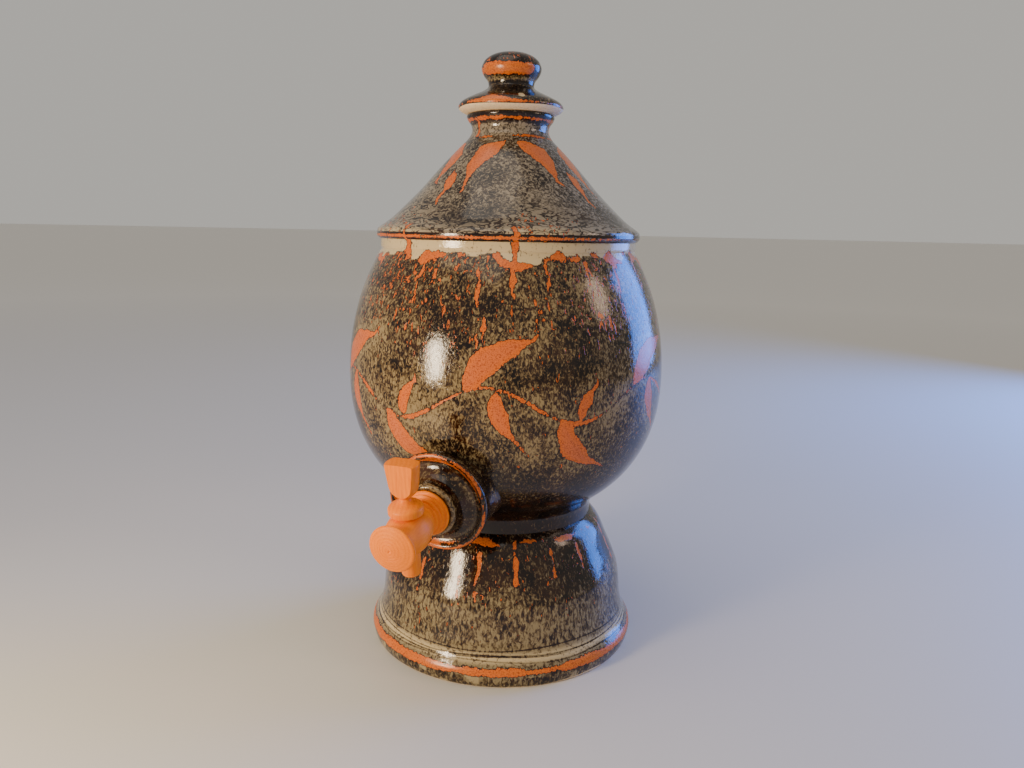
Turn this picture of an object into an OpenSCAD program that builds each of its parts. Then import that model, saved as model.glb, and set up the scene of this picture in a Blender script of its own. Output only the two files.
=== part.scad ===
// Clay water pot with a wooden tap: a thrown stoneware urn on a bell-shaped pedestal.
// The origin is the centre of the foot ring on the table. +Z is up and the tap points towards -Y.
// Thrown sections are outlines of [radius, height] turned about the pot's axis. The tap's outlines
// are [radius, distance] along its own axis, which leaves the pot's axis at tap_z and dips forwards.

/* [Pedestal] */
// Outer radius of the foot ring on the table
foot_r = 91.6; // [89:0.1:92.5]
// Largest radius of the flange above the foot
flange_r = 93.7; // [93:0.1:95]
// Radius of the bell above the flange
bell_r = 84.8; // [82:0.2:86]
// Height of the pedestal, up to the waist
pedestal_h = 91.5; // [90:0.5:93]
// Wall of the pedestal
pedestal_wall = 8.5; // [7:0.5:10]

/* [Globe] */
// Radius of the waist between pedestal and globe
waist_r = 62.4; // [61:0.2:63.5]
// Largest radius of the globe
globe_r = 107.4; // [105:0.2:110]
// Height of the globe's widest ring above the waist
globe_rise = 98.5; // [96:0.5:101]
// Height of the seam between globe and shoulder above the widest ring
seam_rise = 89; // [87:0.5:91]
// Radius of the short upright band under the seam
seam_r = 85.8; // [85:0.1:87]
// Wall of the globe
globe_wall = 7; // [6:0.5:8]
// Thickness of the globe's floor
floor_t = 10; // [8:0.5:12]

/* [Shoulder and neck] */
// Overhang of the rolled ridge beyond the band under the seam
ridge_out = 2.6; // [2:0.1:4]
// Outer radius of the neck at its narrowest
neck_r = 25.5; // [25:0.1:27]
// Outer radius of the bead round the mouth
mouth_bead_r = 29.1; // [28.8:0.1:30]
// Height of the shoulder and neck, from the seam to the mouth
shoulder_h = 81.4; // [80:0.2:83]
// Wall of the shoulder
shoulder_wall = 5.5; // [5:0.5:6.5]
// Bore of the mouth
mouth_bore_r = 20; // [19.5:0.1:20.5]

/* [Lid] */
// Radius of the lid's edge
lid_r = 34.7; // [34:0.1:36]
// Height of the lid from the mouth to the foot of its knob
lid_h = 18.2; // [17.5:0.1:19.5]
// Depth of the locating ring that hangs in the mouth
lid_ring_h = 13; // [10:0.5:16]
// Radial gap between the locating ring and the mouth
lid_gap = 1.2; // [0.8:0.1:2]
// Radius of the knob
knob_r = 19.7; // [19:0.1:21]
// Radius of the knob's foot
knob_foot_r = 15; // [14:0.1:16]
// Height of the knob
knob_h = 20.9; // [20:0.1:22]

/* [Tap seat] */
// Drop from the globe's widest ring to where the tap's axis crosses the pot's axis
tap_drop = 45.4; // [44:0.1:47]
// Dip of the tap below level, in degrees
tap_dip = 9.3; // [9:0.1:10]
// Reach of the hub's front beyond the globe's largest radius, along the tap's axis
hub_reach = 15.4; // [14.6:0.2:16.6]
// Distance from the hub's front back to the crest of the dish's rolled rim
rim_back = 10.6; // [9.8:0.2:11.8]
// Radius of the dish at its rolled rim
dish_r = 31.6; // [31:0.1:32.5]
// Radius of the hole for the tap
tap_hole_r = 13.3; // [13.1:0.1:13.6]
// Distance from the hub's front back to the flat seat inside the globe
inner_seat_back = 50.8; // [50:0.2:52]

/* [Wooden tap] */
// Radius of the shank's crests
shank_r = 12.3; // [12:0.1:12.6]
// Pitch of the shank's thread
thread_pitch = 4; // [3.5:0.1:4.5]
// Radius and thickness of the flange that presses on the outer washer
tap_flange_r = 14; // [13.6:0.1:14.4]
tap_flange_t = 1.8; // [1.5:0.1:2.2]
// Length of the stepped rings in front of the flange
rings_l = 8; // [7.5:0.1:9]
// Radius of the neck between the rings and the belly
ring_neck_r = 9.2; // [9:0.1:10]
// Radius of the belly that holds the key
belly_r = 12.7; // [12.4:0.1:13.2]
// Radius of the cove behind the end disc
cove_r = 9.9; // [9.5:0.1:10.5]
// Radius of the disc at the front end
disc_r = 13.8; // [13.5:0.1:14.5]
// Rise of the dome on the end disc
dome_h = 2.5; // [1.5:0.1:3]
// Length from the outer washer to the edge of the end disc
barrel_front = 43.2; // [42.5:0.1:44.5]
// Distance of the key's axis behind the edge of the end disc
key_back = 19.2; // [18.8:0.1:20]
// Length of the shank behind the outer washer
shank_l = 74; // [72:0.5:76]
// Radius of the water bore
bore_r = 4; // [3:0.1:4.5]

/* [Key] */
// Radius of the key's plug where it crosses the tap's axis
plug_r = 6.5; // [6.2:0.1:6.8]
// Taper of the plug, radius gained per millimetre of height
plug_taper = 0.05; // [0.04:0.01:0.06]
// Running clearance of the plug in its socket
plug_gap = 0.05; // [0.02:0.01:0.1]
// Radius of the key's collar
key_collar_r = 10; // [9.8:0.1:10.6]
// Height of the handle's top above the tap's axis
handle_h = 42.6; // [41:0.2:46]
// Thickness of the handle between its sawn flats
handle_t = 10; // [9:0.2:12]
// Reach of the outlet tip below the tap's axis
tip_l = 25.9; // [25:0.1:28]
// Radius of the outlet
outlet_r = 3; // [2.5:0.1:3.5]

/* [Washers and nut] */
// Thickness of the outer washer
outer_washer_t = 1; // [0.8:0.1:2]
// Outer radius of the outer washer
outer_washer_r = 13.2; // [13:0.1:14]
// Thickness of the inner washer
inner_washer_t = 3; // [2:0.5:4]
// Outer radius of the inner washer
inner_washer_r = 18; // [17:0.1:18.5]
// Thickness of the nut
nut_t = 14; // [12:0.5:16]
// Width of the nut across its flats
nut_af = 33; // [31:0.5:34]

/* [Hidden] */
$fn = 96;
// Segments drawn between two points of a smooth outline
steps = 4;
// Points drawn along each half of the globe's outline
globe_steps = 22;
// Half-height of the globe's lower and upper halves, each as if it closed to a point
globe_low_h = globe_rise * 1.0152;
globe_high_h = seam_rise * 1.5281;
// Exponents of those two halves: 2 is an ellipse, more is squarer
globe_low_n = 2.25;
globe_high_n = 2;
// Height above the waist at which the globe's curve takes over from the waist's hollow
globe_start = 16;
// Height of the upright band under the seam
band_h = 6;
// Width of each of the two steps that round the globe's floor into its wall
floor_round = 9;
// Depth of the shank thread, and its running gap in the nut
thread_depth = 1.3;
thread_gap = 0.1;
// Gap between the washers' bores and the shank
washer_gap = 0.1;
// Radius of the hub's lip, and of the tube that leads the shank through behind it
lip_r = 16.4;
tube_r = 18.8;
// Length of the dish's skirt behind its rim, mostly hidden in the globe
skirt_l = 57.2;
// Radius of the flat seat inside the globe, and of the room cut free in front of it
seat_r = 20;
seat_room_r = 19;
// Radius of the air hole from the dish's hollow back to the tap hole, and its distance behind the rim
vent_r = 1.5;
vent_back = 14.2;
// Extra length of every cut, so that it passes its face
cut = 1;

waist_z = pedestal_h;
floor_z = waist_z + floor_t;
globe_z = waist_z + globe_rise;
seam_z = globe_z + seam_rise;
ridge_r = seam_r + ridge_out;
mouth_z = seam_z + shoulder_h;
lid_top_z = mouth_z + lid_h;
total_h = lid_top_z + knob_h;
tap_z = globe_z - tap_drop;
hub_s = globe_r + hub_reach;
rim_s = hub_s - rim_back;
inner_seat_s = hub_s - inner_seat_back;
skirt_s = rim_s - skirt_l;
vent_s = rim_s - vent_back;
seat_front_s = hub_s + outer_washer_t;
front_s = seat_front_s + barrel_front;
key_s = front_s - key_back;
shank_end_s = seat_front_s - shank_l;
lid_ring_r = mouth_bore_r - lid_gap;
nut_s = inner_seat_s - inner_washer_t - nut_t;
collar_seat_t = belly_r - 0.7;

// A smooth curve through the given points
function catmull(a, b, c, d, t) =
    0.5 * (2 * b + (c - a) * t + (2 * a - 5 * b + 4 * c - d) * t * t + (3 * b - a - 3 * c + d) * t * t * t);
function smooth(p) = concat(
    [for (i = [0 : len(p) - 2]) for (k = [0 : steps - 1])
        catmull(p[max(i - 1, 0)], p[i], p[i + 1], p[min(i + 2, len(p) - 1)], k / steps)],
    [p[len(p) - 1]]);

// The same curve moved in by d, for the inside of a wall
function heading(p, i) =
    let (step = p[min(i + 1, len(p) - 1)] - p[max(i - 1, 0)]) step / norm(step);
function inset(p, d) =
    [for (i = [0 : len(p) - 1]) let (h = heading(p, i)) p[i] + d * [-h[1], h[0]]];
function between(p, z0, z1) = [for (q = p) if (q[1] > z0 && q[1] < z1) q];
function reversed(p) = [for (i = [len(p) - 1 : -1 : 0]) p[i]];

// Points given as shares of the way from r0 to r1 and from z0 to z1
function shares(p, r0, r1, z0, z1) = [for (q = p) [r0 + (r1 - r0) * q[0], z0 + (z1 - z0) * q[1]]];

module turned(outline) {
    rotate_extrude() polygon(outline);
}

// Places its children with +Z along the tap's axis and +Y up the key
module on_tap_axis() {
    translate([0, 0, tap_z]) rotate([90 + tap_dip, 0, 0]) children();
}

// Places its children with +Z up the key's own axis
module on_key_axis() {
    on_tap_axis() translate([0, 0, key_s]) rotate([-90, 0, 0]) children();
}

// ---- outlines of the thrown sections ----

pedestal_outer = smooth(concat(
    shares([[0, 0], [0.667, 0.0437], [1, 0.0874]], foot_r, flange_r, 0, pedestal_h),
    shares([[0.056, 0.1202], [0.292, 0.1585], [0.562, 0.2022], [0.753, 0.2623], [0.921, 0.3388], [1, 0.4372]],
        flange_r, bell_r, 0, pedestal_h),
    shares([[0.0625, 0.5464], [0.2232, 0.6557], [0.4241, 0.765], [0.6161, 0.8743], [0.7589, 0.9344],
        [0.9375, 0.9825], [1.0268, 1]], bell_r, waist_r, 0, pedestal_h)));

pedestal_inner = concat(
    [[foot_r - pedestal_wall, 0]],
    between(inset(pedestal_outer, pedestal_wall), 2, waist_z - 4),
    [[waist_r - pedestal_wall, waist_z]]);

// One half of the globe as a power curve, from angle a0 to a1
function globe_half(h, n, a0, a1) =
    [for (k = [0 : globe_steps]) let (a = a0 + (a1 - a0) * k / globe_steps)
        [globe_r * pow(cos(a), 2 / n), globe_z - h * sign(sin(a)) * pow(abs(sin(a)), 2 / n)]];
function globe_angle(h, n, z) = asin(pow(abs(globe_z - z) / h, n / 2));

globe_low = globe_half(globe_low_h, globe_low_n, globe_angle(globe_low_h, globe_low_n, waist_z + globe_start), 0);
globe_high = globe_half(globe_high_h, globe_high_n, -3, -globe_angle(globe_high_h, globe_high_n, seam_z - band_h));
globe_foot = smooth(shares([[-0.118, 0], [-0.118, 0.25], [0, 0.531], [0.431, 0.775], [1, 1]],
    waist_r, globe_low[0][0], waist_z, globe_low[0][1]));
globe_outer = concat(
    globe_foot, between(globe_low, globe_low[0][1] + 0.5, globe_z + 1), globe_high,
    [[seam_r, seam_z - band_h + 1], [seam_r, seam_z]]);

globe_inner = concat(
    [[0, floor_z], [waist_r - 2 * floor_round, floor_z], [waist_r - floor_round, floor_z + 1.6]],
    between(inset(globe_outer, globe_wall), floor_z + 4, seam_z - band_h),
    [[seam_r - globe_wall, seam_z - band_h + 1], [seam_r - globe_wall, seam_z]]);

shoulder_outer = smooth(concat(
    shares([[0.9682, 0], [0.9936, 0.0197], [1, 0.0491], [0.9905, 0.0786], [0.9555, 0.102], [0.8887, 0.1376],
        [0.7965, 0.1966], [0.5533, 0.3808], [0.4118, 0.5037], [0.2671, 0.6265], [0.1097, 0.7494],
        [0.0477, 0.7985], [0.0095, 0.8428], [0, 0.8784], [0.0111, 0.9152]], neck_r, ridge_r, seam_z, mouth_z),
    shares([[0.694, 0.946], [1, 0.9754], [0.861, 0.9951], [0.417, 1]], neck_r, mouth_bead_r, seam_z, mouth_z)));

shoulder_inner = concat(
    [[seam_r - globe_wall, seam_z]],
    between(inset(shoulder_outer, shoulder_wall), seam_z + 6, mouth_z - 10.5),
    [[mouth_bore_r, mouth_z - 9], [mouth_bore_r, mouth_z - 1.5], [mouth_bore_r + 1.5, mouth_z]]);

module globe_solid() {
    turned(concat([[0, waist_z]], globe_outer, [[0, seam_z]]));
}

// ---- thrown sections ----

module pedestal() {
    color("darkolivegreen") turned(concat(pedestal_outer, reversed(pedestal_inner)));
}

module globe() {
    color("dimgray") difference() {
        union() {
            turned(concat([[0, waist_z]], globe_outer, reversed(globe_inner)));
            intersection() {
                globe_solid();
                on_tap_axis() translate([0, 0, inner_seat_s]) cylinder(r = seat_r, h = globe_wall * 2);
            }
        }
        on_tap_axis() translate([0, 0, skirt_s]) cylinder(r = seat_room_r, h = inner_seat_s - skirt_s);
        on_tap_axis() translate([0, 0, skirt_s]) cylinder(r = tap_hole_r, h = hub_s - skirt_s);
    }
}

module shoulder() {
    color("dimgray") turned(concat(shoulder_outer, reversed(shoulder_inner)));
}

// A dished collar round the tap hole: rolled rim, hollow back, and a tube that ends in the hub's lip
module tap_boss() {
    lip = [[tap_hole_r, hub_s - 0.8], [tap_hole_r + 0.8, hub_s], [lip_r - 1, hub_s], [lip_r, hub_s - 1.2],
        [lip_r + 0.1, hub_s - 3]];
    dish = smooth([
        [lip_r - 0.2, hub_s - 5], [lip_r + 0.5, hub_s - 8.4], [lip_r + 2.6, rim_s - 0.9], [lip_r + 5.4, rim_s - 3],
        [dish_r - 7, rim_s - 3.6], [dish_r - 4.4, rim_s - 2.2], [dish_r - 2.8, rim_s - 0.4], [dish_r - 1.5, rim_s],
        [dish_r - 0.3, rim_s - 0.9], [dish_r, rim_s - 2.6], [dish_r - 0.8, rim_s - 5], [dish_r - 2.4, rim_s - 8],
        [dish_r - 3.4, rim_s - 13], [dish_r - 3, rim_s - 20], [dish_r - 1.4, rim_s - 28],
        [dish_r + 0.6, rim_s - 40], [dish_r + 1.4, skirt_s]]);
    back = [[dish_r - 5, skirt_s], [dish_r - 8.4, rim_s - 20], [dish_r - 8.8, rim_s - 11],
        [tube_r + 1, rim_s - 10], [tube_r, rim_s - 12], [tube_r, skirt_s], [tap_hole_r, skirt_s]];
    color("sienna") difference() {
        on_tap_axis() turned(concat(lip, dish, back));
        globe_solid();
        on_tap_axis() translate([0, 0, vent_s]) rotate([-90, 0, 0]) cylinder(r = vent_r, h = tube_r + cut);
    }
}

// ---- lid ----

module lid() {
    top = smooth(shares([[0.6853, 0], [0.8477, 0.0659], [0.9543, 0.1374], [1, 0.2198], [0.9746, 0.3242],
        [0.8731, 0.4341], [0.7107, 0.533], [0.5076, 0.6374], [0.2792, 0.7473], [0.0964, 0.8571],
        [0.0203, 0.9341], [0, 1]], knob_foot_r, lid_r, mouth_z, lid_top_z));
    ring_bore = lid_ring_r - 5;
    color("wheat") turned(concat(
        [[lid_ring_r, mouth_z - lid_ring_h], [lid_ring_r, mouth_z]], top,
        [[0, lid_top_z]], shares([[0, 0.385], [0.71, 0.33], [1, 0.11]], 0, ring_bore, mouth_z, lid_top_z), [
         [ring_bore, mouth_z - lid_ring_h]]));
}

module lid_knob() {
    side = smooth(concat(
        shares([[0, 0], [0.064, 0.0957], [0.277, 0.1818], [0.617, 0.2775], [0.894, 0.3923]],
            knob_foot_r, knob_r, lid_top_z, total_h),
        shares([[1, 0.512], [0.9746, 0.6172], [0.8934, 0.7512], [0.7107, 0.8804], [0.4315, 0.9713], [0, 1]],
            0, knob_r, lid_top_z, total_h)));
    color("saddlebrown") turned(concat([[0, lid_top_z]], side));
}

// ---- wooden tap ----

// Thread crests and roots between two distances, as turned ridges of the thread's pitch
function ridges(crest, s0, s1) =
    let (count = floor((s1 - s0) / thread_pitch))
    [for (k = [0 : count - 1]) for (q = [[0, 1], [0.28, 0.3], [0.5, 0], [0.72, 0.3]])
        [crest - thread_depth * q[1], s0 + (k + q[0]) * thread_pitch]];

module tap_barrel() {
    flange_back = seat_front_s;
    flange_front = flange_back + tap_flange_t;
    rings_end = flange_front + rings_l;
    outline = concat(
        [[0, shank_end_s], [shank_r - 1.5, shank_end_s], [shank_r - thread_depth, shank_end_s + 1.5]],
        ridges(shank_r, shank_end_s + 2, inner_seat_s - inner_washer_t),
        [[shank_r, inner_seat_s - inner_washer_t + 1], [shank_r, flange_back], [tap_flange_r - 0.4, flange_back],
         [tap_flange_r, flange_back + 0.4], [tap_flange_r, flange_front - 0.4]],
        shares([[0.16, 0], [0.35, 0.09], [0.23, 0.2], [0.25, 0.29], [0.58, 0.4], [0.48, 0.49], [0.5, 0.56],
            [0.81, 0.66], [0.73, 0.75], [0.77, 0.83], [1, 0.94]], tap_flange_r, ring_neck_r, flange_front, rings_end),
        smooth(concat(
            shares([[0.1, 0.06], [0.5, 0.32], [0.86, 0.68], [1, 0.93]], ring_neck_r, belly_r, rings_end, key_s),
            shares([[0.06, 0.1], [0.28, 0.28], [0.6, 0.47], [0.93, 0.66], [1, 0.77]], belly_r, cove_r, key_s, front_s),
            [[disc_r - 2.8, front_s - 3], [disc_r - 1, front_s - 2.4], [disc_r, front_s - 1.4],
             [disc_r - 0.3, front_s - 0.4], [disc_r - 1.4, front_s + 0.2]])),
        shares([[0.8, 0.4], [0.6, 0.67], [0.3, 0.92], [0, 1]], 0, disc_r - 1.4, front_s, front_s + dome_h));
    color("sandybrown") difference() {
        on_tap_axis() turned(outline);
        on_tap_axis() translate([0, 0, shank_end_s - cut]) cylinder(r = bore_r, h = key_s - shank_end_s + cut);
        on_key_axis() translate([0, 0, -belly_r - cut])
            cylinder(r1 = plug_r + plug_gap - plug_taper * (belly_r + cut),
                r2 = plug_r + plug_gap + plug_taper * (belly_r + cut), h = 2 * (belly_r + cut));
        on_key_axis() translate([0, 0, collar_seat_t]) cylinder(r = key_collar_r + 0.3, h = belly_r);
    }
}

module tap_key() {
    neck_t = collar_seat_t + 9;
    plug_top = collar_seat_t + 0.3;
    plug = [
        [0, -tip_l], [plug_r - 1.6, -tip_l], [plug_r - 0.95, 0.8 - tip_l], [plug_r - plug_taper * 14, -14],
        [plug_r + plug_taper * plug_top, plug_top], [key_collar_r - 0.5, plug_top],
        [key_collar_r, plug_top + 0.9], [key_collar_r, plug_top + 3.6], [key_collar_r - 0.9, plug_top + 4.8],
        [5.4, neck_t - 2], [3.6, neck_t - 0.7], [3.1, neck_t + 0.4], [0, neck_t + 0.4]];
    handle = concat([[0, neck_t]], smooth([
        [3.1, neck_t], [3.5, neck_t + 1.1], [5.6, neck_t + 2.9], [7.4, neck_t + 5.2], [8.3, neck_t + 8.4],
        [8.9, handle_h - 8], [9.6, handle_h - 1.2], [8.9, handle_h - 0.3]]), [[0, handle_h]]);
    color("orange") on_key_axis() difference() {
        union() {
            turned(plug);
            intersection() {
                turned(handle);
                translate([-key_collar_r, -handle_t / 2, 0]) cube([2 * key_collar_r, handle_t, handle_h + cut]);
            }
        }
        translate([0, 0, -tip_l - cut]) cylinder(r = outlet_r, h = tip_l + outlet_r + cut);
        rotate([0, 90, 0]) cylinder(r = outlet_r, h = plug_r * 2);
    }
}

module washer(s, t, r) {
    on_tap_axis() translate([0, 0, s]) difference() {
        cylinder(r = r, h = t);
        translate([0, 0, -cut]) cylinder(r = shank_r + washer_gap, h = t + 2 * cut);
    }
}

module outer_washer() {
    color("saddlebrown") washer(hub_s, outer_washer_t, outer_washer_r);
}

module inner_washer() {
    color("black") washer(inner_seat_s - inner_washer_t, inner_washer_t, inner_washer_r);
}

module tap_nut() {
    corner_r = nut_af / sqrt(3);
    bore = [for (q = ridges(shank_r, shank_end_s + 2, inner_seat_s - inner_washer_t))
        if (q[1] > nut_s + 0.2 && q[1] < nut_s + nut_t - 0.2) [q[0] + thread_gap, q[1] - nut_s]];
    color("burlywood") on_tap_axis() translate([0, 0, nut_s]) difference() {
        intersection() {
            cylinder(r = corner_r, h = nut_t, $fn = 6);
            turned([[0, 0], [corner_r - 2.6, 0], [corner_r, 1.6], [corner_r, nut_t - 1.6],
                [corner_r - 2.6, nut_t], [0, nut_t]]);
        }
        turned(concat([[0, -cut], [shank_r + thread_gap, -cut]], bore,
            [[shank_r + thread_gap, nut_t + cut], [0, nut_t + cut]]));
    }
}

pedestal();
globe();
shoulder();
tap_boss();
lid();
lid_knob();
tap_barrel();
tap_key();
outer_washer();
inner_washer();
tap_nut();
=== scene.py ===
"""Clay water pot with a wooden tap: a thrown stoneware urn, its lid, its tap and the seals behind it.

Outlines are in millimetres, as [radius, height] about the wheel's or the lathe's axis, and meshes are in
metres, in the row's frame: the origin is the centre of the foot ring, +Z is up and the tap points
towards -Y. An azimuth is in degrees from the tap, and grows towards +X.
"""
import logging
import math
from collections.abc import Callable
from dataclasses import dataclass, field
from enum import Enum
from functools import partial

import bpy
import numpy as np
from mathutils import Matrix, Vector


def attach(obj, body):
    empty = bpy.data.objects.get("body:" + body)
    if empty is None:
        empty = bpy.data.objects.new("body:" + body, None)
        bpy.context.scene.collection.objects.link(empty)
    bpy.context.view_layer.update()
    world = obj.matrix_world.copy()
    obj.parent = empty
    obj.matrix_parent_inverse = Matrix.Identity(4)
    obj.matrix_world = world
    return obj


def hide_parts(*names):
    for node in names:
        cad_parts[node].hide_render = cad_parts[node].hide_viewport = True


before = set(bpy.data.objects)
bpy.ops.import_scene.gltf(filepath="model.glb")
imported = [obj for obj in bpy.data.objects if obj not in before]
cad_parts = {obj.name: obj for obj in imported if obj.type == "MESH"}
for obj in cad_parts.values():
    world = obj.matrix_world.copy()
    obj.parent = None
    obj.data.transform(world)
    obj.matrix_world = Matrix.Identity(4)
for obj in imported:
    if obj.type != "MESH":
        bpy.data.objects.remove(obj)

logging.basicConfig(level=logging.INFO, format="%(name)s: %(message)s")
log = logging.getLogger("water_pot")

MM = 0.001
UNMARKED = -40.0  # mm outside any rust mark
SMOOTH_STEP = {"interpolation_type": "SMOOTHSTEP"}
COVERED = -3.0  # mm inside the glaze's edge
Outline = list[tuple[float, float]]
Waves = tuple[tuple[int, float, float], ...]
Values = np.ndarray | float
Socket = bpy.types.NodeSocket
AddNode = Callable[..., Socket]


# ---- outlines ----


def smooth(points: Outline, steps: int = 6) -> Outline:
    """A smooth curve through the given points.

    Args:
        points: the points that the curve passes through.
        steps: segments drawn between two of them.

    Returns:
        The curve's points.
    """
    knots = [Vector(p) for p in points]
    curve = []
    for i in range(len(knots) - 1):
        a, b, c, d = knots[max(i - 1, 0)], knots[i], knots[i + 1], knots[min(i + 2, len(knots) - 1)]
        bend, sweep = 2 * a - 5 * b + 4 * c - d, 3 * b - a - 3 * c + d
        for k in range(steps):
            t = k / steps
            p = 0.5 * (2 * b + (c - a) * t + bend * t * t + sweep * t**3)
            curve.append((p.x, p.y))
    return curve + [tuple(knots[-1])]


def shares(points: Outline, r0: float, r1: float, z0: float, z1: float) -> Outline:
    """Points given as shares of the way from r0 to r1 and from z0 to z1."""
    return [(r0 + (r1 - r0) * r, z0 + (z1 - z0) * z) for r, z in points]


def run_lengths(points: Outline) -> np.ndarray:
    """Distance along an outline from its first point to each point, in mm."""
    steps = np.diff(np.array(points), axis=0)
    return np.concatenate([[0.0], np.cumsum(np.hypot(steps[:, 0], steps[:, 1]))])


def even(points: Outline, spacing: float) -> Outline:
    """The same outline drawn with evenly spaced points, fine enough to carry a painted pattern.

    Args:
        points: the outline.
        spacing: mm between two points, at most.

    Returns:
        The outline with its new points.
    """
    run = run_lengths(points)
    stops = np.linspace(0, run[-1], max(2, math.ceil(run[-1] / spacing) + 1))
    path = np.array(points)
    return list(zip(np.interp(stops, run, path[:, 0]), np.interp(stops, run, path[:, 1])))


def refine(points: Outline, low: float, high: float, parts: int) -> Outline:
    """The outline with each step between two heights split in parts, so that it can carry a thin line.

    Args:
        points: the outline.
        low: the lower height, in mm.
        high: the upper height, in mm.
        parts: how many parts a step is split in.

    Returns:
        The outline with its new points.
    """
    split = [points[0]]
    for (ra, za), (rb, zb) in zip(points, points[1:]):
        count = parts if low < (za + zb) / 2 < high else 1
        split += [(ra + (rb - ra) * k / count, za + (zb - za) * k / count) for k in range(1, count + 1)]
    return split


def inset(points: Outline, depth: float) -> Outline:
    """The outline moved in by the thickness of a wall.

    Args:
        points: the outline.
        depth: the wall's thickness, in mm.

    Returns:
        The outline of the wall's other side.
    """
    moved = []
    for i, (r, z) in enumerate(points):
        (ra, za), (rb, zb) = points[max(i - 1, 0)], points[min(i + 1, len(points) - 1)]
        size = math.hypot(rb - ra, zb - za)
        moved.append((r - depth * (zb - za) / size, z + depth * (rb - ra) / size))
    return moved


def between(points: Outline, low: float, high: float) -> Outline:
    """The outline's points whose height lies between two limits."""
    return [p for p in points if low < p[1] < high]


def ripple(azimuth: np.ndarray, waves: Waves) -> np.ndarray:
    """An uneven line round the pot, as a sum of waves that closes on itself.

    Args:
        azimuth: degrees from the tap.
        waves: for each wave its count round the pot, its height in mm and its phase in degrees.

    Returns:
        The line's height at each azimuth, in mm.
    """
    return sum(size * np.sin(np.radians(count * azimuth + phase)) for count, size, phase in waves)


def ramp(value: Values, start: float, end: float) -> Values:
    """Share of the way from start to end, held between 0 and 1."""
    return np.clip((value - start) / (end - start), 0, 1)


def hump(value: Values, middle: Values, half: float) -> Values:
    """A smooth hump: 1 at its middle, and little is left of it twice its half-width away."""
    return np.exp(-(((value - middle) / half) ** 2))

# ---- modelling ----


def deselect_all() -> None:
    """Leaves edit mode and deselects every object."""
    if bpy.context.object and bpy.context.object.mode != "OBJECT":
        bpy.ops.object.mode_set(mode="OBJECT")
    bpy.ops.object.select_all(action="DESELECT")


def make_active(piece: bpy.types.Object) -> None:
    """Selects one piece alone, so that the next operator acts on it.

    Args:
        piece: the piece.
    """
    deselect_all()
    piece.select_set(True)
    bpy.context.view_layer.objects.active = piece


def edit_all() -> None:
    """Enters edit mode with the whole mesh selected."""
    bpy.ops.object.mode_set(mode="EDIT")
    bpy.ops.mesh.select_all(action="SELECT")


def solid(name: str, operator: Callable[..., set[str]], **values: object) -> bpy.types.Object:
    """One of Blender's own meshes, with its place applied.

    Args:
        name: its name.
        operator: the operator that adds it.
        values: what the operator takes, in metres.

    Returns:
        The new object.
    """
    deselect_all()
    operator(**values)
    piece = bpy.context.object
    piece.name = piece.data.name = name
    bpy.ops.object.transform_apply(location=True, rotation=False, scale=False)
    return piece


def turn(name: str, outline: Outline, steps: int, closed: bool = False) -> bpy.types.Object:
    """Turns an outline about +Z, as on a wheel or a lathe.

    Args:
        name: the piece's name.
        outline: the outline, which starts and ends on the axis or is closed.
        steps: how many steps the turn takes.
        closed: whether the last point joins the first.

    Returns:
        The piece, standing on its own axis.
    """
    path = outline + [outline[0]] if closed else outline
    r, z = path[0]
    piece = solid(name, bpy.ops.mesh.primitive_plane_add, size=MM, location=(r * MM, 0, z * MM))
    edit_all()
    bpy.ops.mesh.merge(type="CENTER")
    for (ra, za), (rb, zb) in zip(path, path[1:]):
        step = ((rb - ra) * MM, 0, (zb - za) * MM)
        bpy.ops.mesh.extrude_vertices_move(TRANSFORM_OT_translate={"value": step})
    bpy.ops.object.mode_set(mode="OBJECT")
    lathe = piece.modifiers.new("lathe", "SCREW")
    lathe.axis, lathe.steps, lathe.render_steps = "Z", steps, steps
    lathe.use_merge_vertices, lathe.merge_threshold = True, 0.01 * MM
    bpy.ops.object.modifier_apply(modifier=lathe.name)
    edit_all()
    bpy.ops.mesh.remove_doubles(threshold=0.01 * MM)
    bpy.ops.mesh.normals_make_consistent(inside=False)
    bpy.ops.object.mode_set(mode="OBJECT")
    return piece


def place(piece: bpy.types.Object, where: Matrix) -> None:
    """Moves a piece to its place and leaves its object at the origin, unturned.

    Args:
        piece: the piece.
        where: its place and turn, in metres.
    """
    make_active(piece)
    piece.matrix_world = where
    bpy.ops.object.transform_apply(location=True, rotation=True, scale=True)


def rod(
    name: str, radius: float, low: float, high: float, where: Matrix, sides: int = 96
) -> bpy.types.Object:
    """A plain rod, round or with a few sides.

    Args:
        name: the rod's name.
        radius: its radius in mm.
        low: where it starts along its axis, in mm.
        high: where it ends along its axis, in mm.
        where: the axis's place in the row's frame.
        sides: how many sides it has.

    Returns:
        The rod.
    """
    middle = (0, 0, (low + high) / 2 * MM)
    tool = solid(
        name, bpy.ops.mesh.primitive_cylinder_add, vertices=sides, radius=radius * MM,
        depth=(high - low) * MM, location=middle,
    )
    place(tool, where)
    return tool


def carve(piece: bpy.types.Object, tool: bpy.types.Object, operation: str = "DIFFERENCE") -> None:
    """Cuts a piece with another and removes the tool.

    Args:
        piece: the piece.
        tool: the object that cuts it.
        operation: how the two are combined, as the Boolean modifier names it.
    """
    make_active(piece)
    cut = piece.modifiers.new("cut", "BOOLEAN")
    cut.operation, cut.object, cut.solver = operation, tool, "EXACT"
    bpy.ops.object.modifier_apply(modifier=cut.name)
    bpy.data.objects.remove(tool)


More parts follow.
